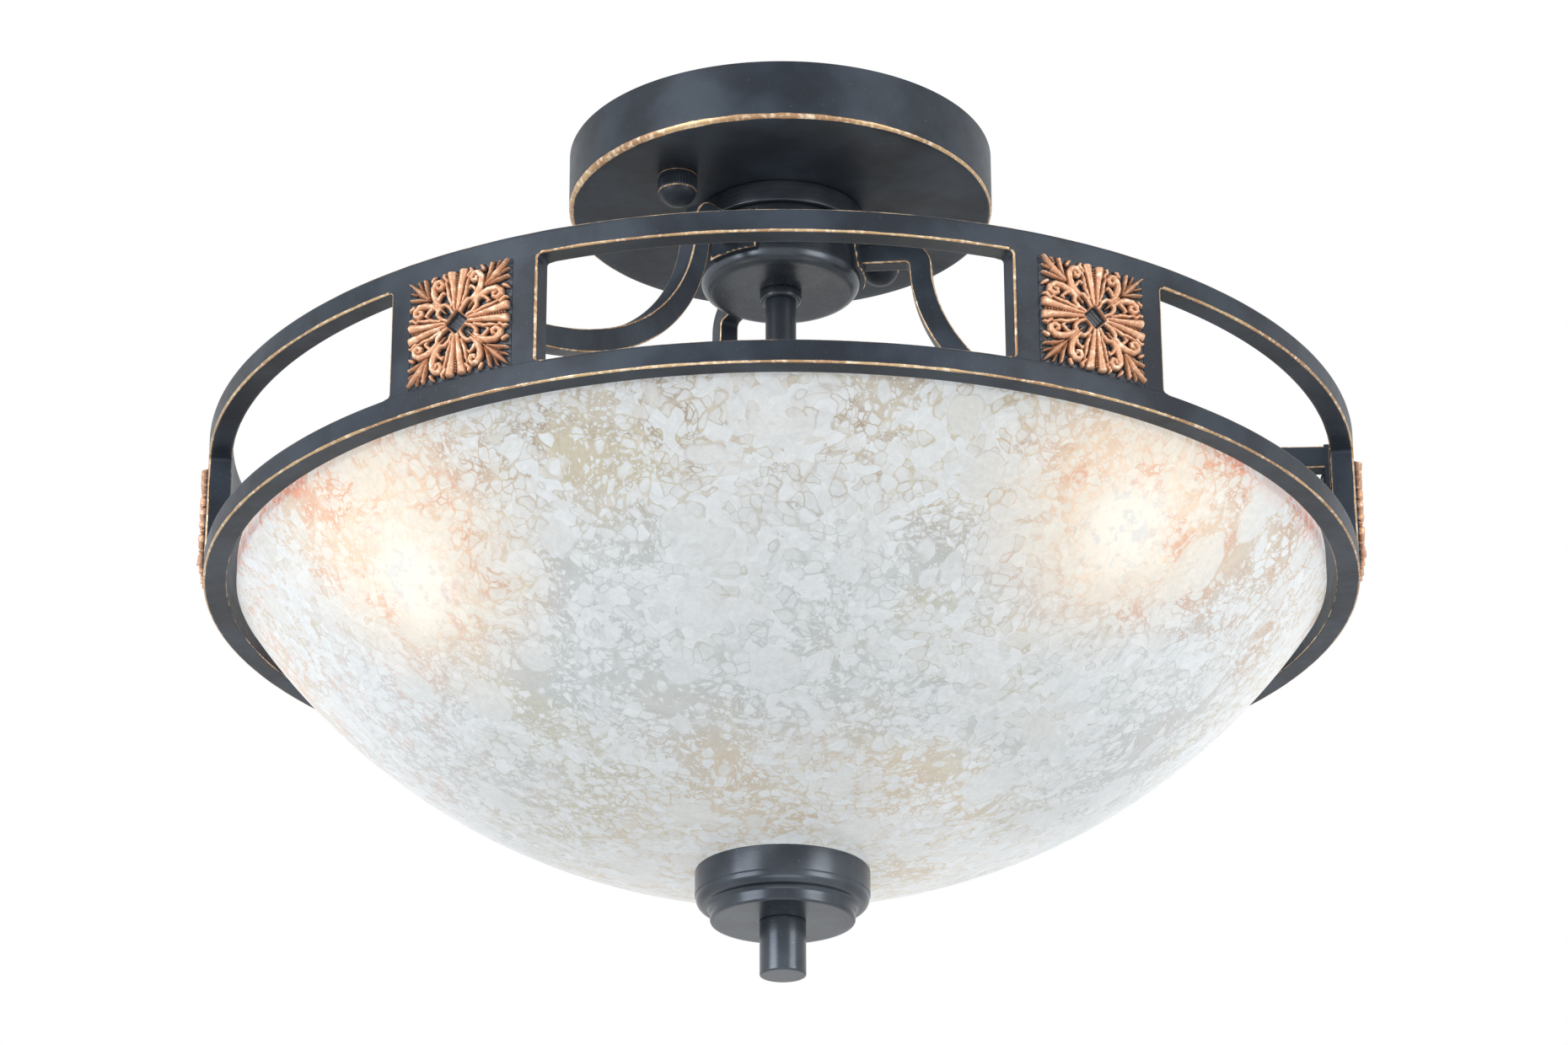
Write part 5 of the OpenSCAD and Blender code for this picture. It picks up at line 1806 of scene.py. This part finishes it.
@dataclass
class Bowl:
    """The marbled glass bowl, its lower gasket, the finial cup and the knob."""

    glass: float = 4.0
    rim_r: float = 198.0
    rim_top: float = -171.0
    corner_z: float = -181.0
    bottom: float = -285.4
    hole_r: float = 6.2
    rim_edge: float = 1.6
    rim_in: float = 0.4
    gasket_step: float = 0.6
    cup_lip: float = 0.35
    cup_wall: float = 1.5
    cup_band: float = 9.3
    cup_bead: float = 3.0
    cup_hollow: float = 2.0
    cup_step: float = 0.4
    cup_edge: float = 0.25
    cup_seam: float = 0.2
    cup_groove: float = 1.0
    foot_edge: float = 0.6
    bead_wall: float = 2.2
    knob_edge: float = 0.55
    knob_top_edge: float = 0.2
    knob_bore_r: float = 5.05
    knob_bore_h: float = 16.0
    turned_step: float = 1.2

    def build(self, glass: Finish, steel: Finish, rubber: Finish) -> None:
        """Builds the pieces of the bowl.

        Args:
            glass: Finish of the bowl.
            steel: Finish of the finial cup and the knob.
            rubber: Finish of the gasket.
        """
        depth = self.corner_z - self.bottom
        radius = (self.rim_r**2 + depth**2) / (2 * depth)
        centre = self.bottom + radius
        inner = radius - self.glass
        rim_inner = math.sqrt(inner**2 - (self.corner_z - centre) ** 2)
        down = -math.pi / 2
        hole, edge = math.asin(self.hole_r / radius), math.asin((self.rim_r - self.rim_in) / radius)
        outside = arc(0, centre, radius, down + hole, down + edge, 90)
        hole, edge = math.asin(self.hole_r / inner), math.asin((rim_inner - self.rim_in) / inner)
        inside = arc(0, centre, inner, down + edge, down + hole, 60)
        rim = rounded([
            (self.rim_r, self.corner_z + 0.2, 0), (self.rim_r, self.rim_top, self.rim_edge),
            (rim_inner, self.rim_top, self.rim_edge), (rim_inner, self.corner_z + 0.5, 0),
        ], 6)
        outline = np.concatenate([np.array(outside), rim, np.array(inside)])
        Turned("glass_bowl_blown", "glass_bowl", Body.BOWL, "scavo_glass", 50).build(outline, glass, 256)
        size = Extent.of("lower_gasket")
        outline = rounded([
            (size.inner, size.bottom, 0.2), (size.outer, size.bottom, 0.3),
            (size.outer, size.top - self.gasket_step, 0.3), (size.inner, size.top, 0.1),
        ])
        Turned("lower_gasket_ring", "lower_gasket", Body.BOWL, "clear_rubber").build(outline, rubber, 160)
        self.cup(steel)
        self.knob(steel)

    def cup(self, steel: Finish) -> None:
        """Builds the stepped finial cup.

        Args:
            steel: Its finish.
        """
        cup = Extent.of("finial_cup")
        r, top, low, lip = cup.outer, cup.top, cup.bottom, self.cup_lip
        wall, bead, hollow, edge, seam = (
            self.cup_wall, self.cup_bead, self.cup_hollow, self.cup_edge, self.cup_seam
        )
        band_z = top - self.cup_band
        bead_x, bead_top = r - self.cup_step - bead, band_z - self.cup_groove
        foot_r, foot_top, foot_edge = bead_x - hollow, bead_top - bead - hollow, self.foot_edge
        outside = [
            (r - lip, top), (r, top - lip), (r, band_z + edge), (r - edge, band_z),
            (r - self.cup_step, band_z - seam),
        ]
        outside += arc(bead_x, bead_top, bead, 0, -math.pi / 2, 14)
        outside += arc(bead_x, foot_top, hollow, math.pi / 2, math.pi, 9)
        outside += [(foot_r, low + foot_edge), (foot_r - seam, low + seam), (foot_r - foot_edge, low)]
        inside = [
            (cup.inner, low), (cup.inner, low + wall), (foot_r - wall, low + wall),
            (foot_r - wall, foot_top), (bead_x - wall, bead_top - self.bead_wall), (r - wall, bead_top),
            (r - wall, top),
        ]
        Turned("finial_cup_turned", "finial_cup", Body.BOWL, "satin_gunmetal", 30).build(
            fine(np.array(outside + inside), self.turned_step), steel, 224)

    def knob(self, steel: Finish) -> None:
        """Builds the turned knob under the cup.

        Args:
            steel: Its finish.
        """
        knob = Extent.of("finial_knob")
        r, top, low = knob.outer, knob.top, knob.bottom
        bore, roof = self.knob_bore_r, top - self.knob_bore_h
        outline = fine(rounded([
            (0, low, 0), (r, low, self.knob_edge), (r, top, self.knob_top_edge), (bore, top, 0),
            (bore, roof, 0), (0, roof, 0),
        ]), self.turned_step, closed=False)
        Turned("finial_knob_turned", "finial_knob", Body.KNOB, "satin_gunmetal").build(
            outline, steel, 160, closed=False)


@dataclass(frozen=True)
class SoftBox:
    """One large area lamp that looks at the ceiling light."""

    name: str
    azimuth: float
    elevation: float
    distance: float
    width: float
    height: float
    power: float
    colour: Colour = WHITE


@dataclass
class Studio:
    """Camera, lamps, background and floor."""

    lens: float = 106.14
    sensor: float = 36.0
    clip: float = 0.05
    centre: Corner = (0.0, 0.0, -0.1489)
    distance: float = 1.7012
    pitch: float = 23.0
    roll: float = -0.2
    shift_px: float = -3.0
    px_per_mm: float = 3.2236
    floor_z: float = -3.5
    floor_reach: float = 6.0
    floor_share: float = 0.52
    floor_rough: float = 0.9
    paper: tuple[Colour, Colour] = (srgb("fafafa"), WHITE)
    paper_grain: Noise = Noise(0.01, 3)
    fill: float = 0.45
    boxes: tuple[SoftBox, ...] = (
        SoftBox("key_left", -48.0, 8.0, 2.2, 1.3, 1.6, 34.0),
        SoftBox("key_right", 50.0, 6.0, 2.2, 1.1, 1.6, 24.0, (1.0, 0.97, 0.92)),
        SoftBox("low_front", 0.0, -40.0, 2.2, 1.8, 1.0, 10.0),
    )

    def build(self) -> None:
        """Builds the studio."""
        bpy.context.scene.view_settings.view_transform = "Standard"
        self.camera()
        for box in self.boxes:
            self.soft_box(box)
        self.world()
        self.floor()

    def camera(self) -> None:
        """Adds the camera of the photograph."""
        data = bpy.data.cameras.new("camera")
        data.sensor_width = self.sensor
        data.lens = self.lens
        data.clip_start = self.clip
        camera = add_object("camera", data)
        pitch = math.radians(self.pitch)
        way = Vector((0, math.cos(pitch), math.sin(pitch)))
        side = Vector((1, 0, 0))
        up = side.cross(way)
        middle = Vector(self.centre) - side * (self.shift_px / self.px_per_mm * MM)
        turn = Matrix((side, up, -way)).transposed() @ Matrix.Rotation(math.radians(self.roll), 3, "Z")
        camera.matrix_world = Matrix.Translation(middle - way * self.distance) @ turn.to_4x4()
        bpy.context.scene.camera = camera

    def soft_box(self, box: SoftBox) -> None:
        """Adds one area lamp.

        Args:
            box: The lamp's place, size and power.
        """
        data = bpy.data.lights.new(box.name, "AREA")
        data.shape = "RECTANGLE"
        data.size = box.width
        data.size_y = box.height
        data.energy = box.power
        data.color = box.colour
        lamp = add_object(box.name, data)
        a, e = math.radians(box.azimuth), math.radians(box.elevation)
        way = Vector((math.sin(a) * math.cos(e), -math.cos(a) * math.cos(e), math.sin(e)))
        lamp.location = Vector(self.centre) + way * box.distance
        lamp.rotation_euler = way.to_track_quat("Z", "Y").to_euler()
        lamp.visible_camera = False

    def world(self) -> None:
        """Makes the background white for the camera and weaker as a light."""
        world = bpy.data.worlds.new("world")
        bpy.context.scene.world = world
        world.use_nodes = True
        tree = world.node_tree
        tree.nodes.clear()
        choose = tree.nodes.new("ShaderNodeMixShader")
        output = tree.nodes.new("ShaderNodeOutputWorld")
        tree.links.new(seen_rays(tree), choose.inputs[0])
        for socket, strength in ((1, self.fill), (2, 1.0)):
            light = tree.nodes.new("ShaderNodeBackground")
            light.inputs["Color"].default_value = (*WHITE, 1.0)
            light.inputs["Strength"].default_value = strength
            tree.links.new(light.outputs[0], choose.inputs[socket])
        tree.links.new(choose.outputs[0], output.inputs["Surface"])

    def floor(self) -> None:
        """Adds the floor far below."""
        mesh = bpy.data.meshes.new("floor")
        reach, z = self.floor_reach, self.floor_z
        mesh.from_pydata([(-reach, -reach, z), (reach, -reach, z), (reach, reach, z), (-reach, reach, z)], [],
                         [(0, 1, 2, 3)])
        floor = add_object("floor", mesh)
        g = Graph("floor_paper")
        paper = g.mix(g.noise(self.paper_grain), *self.paper)
        bright = g.times(seen_rays(g.tree), self.floor_share)
        mesh.materials.append(g.finish(Base_Color=paper, Roughness=self.floor_rough, Specular_IOR_Level=0.0,
                                       Emission_Color=paper, Emission_Strength=bright))


@dataclass
class Hidden:
    """CAD nodes that are kept as they are and get a finish each."""

    finishes: dict[str, Plain] = field(default_factory=lambda: {
        "zinc_steel": Plain("zinc_steel", srgb("b4b8bc"), srgb("c6c9cc"), 0.35, 0.9),
        "white_plastic": Plain("white_plastic", srgb("ecebe6"), srgb("f4f3ef"), 0.45),
        "brass": Plain("brass", srgb("b8924a"), srgb("d0ad62"), 0.32, 0.9),
        "gunmetal": Plain("gunmetal_plain", srgb("2d343d"), srgb("3a434c"), 0.42, 0.2),
        "satin_gunmetal": Plain("satin_gunmetal_plain", srgb("39414c"), srgb("565f69"), 0.35, 0.5),
        "grey_cable": Plain("grey_cable", srgb("8b8d8f"), srgb("9a9c9e"), 0.6),
        "porcelain": Plain("porcelain", srgb("eceae2"), srgb("f6f4ee"), 0.2),
        "clear_rubber": Plain("clear_rubber", srgb("d4d6d2"), srgb("e2e3e0"), 0.4),
    })

    def build(self, replaced: set[str]) -> None:
        """Dresses each CAD node that no piece stands for.

        Args:
            replaced: Names of the nodes that have a piece in their place.
        """
        made: dict[str, Finish] = {}
        slots = {part["node"]: part["material_slot"] for part in frame["record"]["subparts"]}
        for name, node in frame["nodes"].items():
            if name in replaced:
                continue
            slot = slots[name]
            if slot not in made:
                made[slot] = self.finishes[slot].material()
            node.data.materials.clear()
            node.data.materials.append(made[slot])
            LOG.info("%s keeps its CAD shape, in %s", name, slot)


# Centres of the painted lamp glow on the glass, in millimetres: two where the front lamps show through it,
# one at the back.
GLOWS: tuple[Corner, ...] = ((-124.9, -112.1, -216.9), (116.1, -133.5, -207.5), (29.0, 165.0, -212.0))


def main() -> None:
    """Builds the ceiling light and the studio."""
    coat = Lacquer("slate_lacquer").material()
    plain_coat = Lacquer("slate_plain", worn=False).material()
    steel = SpunSteel("satin_slate").material()
    relief = RubbedRelief("rubbed_relief").material()
    glass = MarbledGlass("marbled_glass", GLOWS).material()
    rubber = Plain("clear_ring", srgb("c9cfd0"), srgb("dfe4e4"), 0.25).material()
    metal = Plain("cap_metal", srgb("b9bbbd"), srgb("cdcfd0"), 0.3, 0.9).material()
    frost = FrostedLamp("frosted_glass").material()
    Canopy().build(coat)
    Hub().build(steel, plain_coat)
    Arms().build(coat, steel)
    Band().build(coat)
    Rosettes().build(relief)
    Lamps().build(metal, frost)
    Bowl().build(glass, steel, rubber)
    replaced = {node for node, item in frame["nodes"].items() if item.hide_render}
    LOG.info("%d CAD nodes have a piece in their place", len(replaced))
    Hidden().build(replaced)
    Studio().build()


if __name__ == "__main__":
    logging.basicConfig(level=logging.INFO, format="%(name)s: %(message)s")
    main()
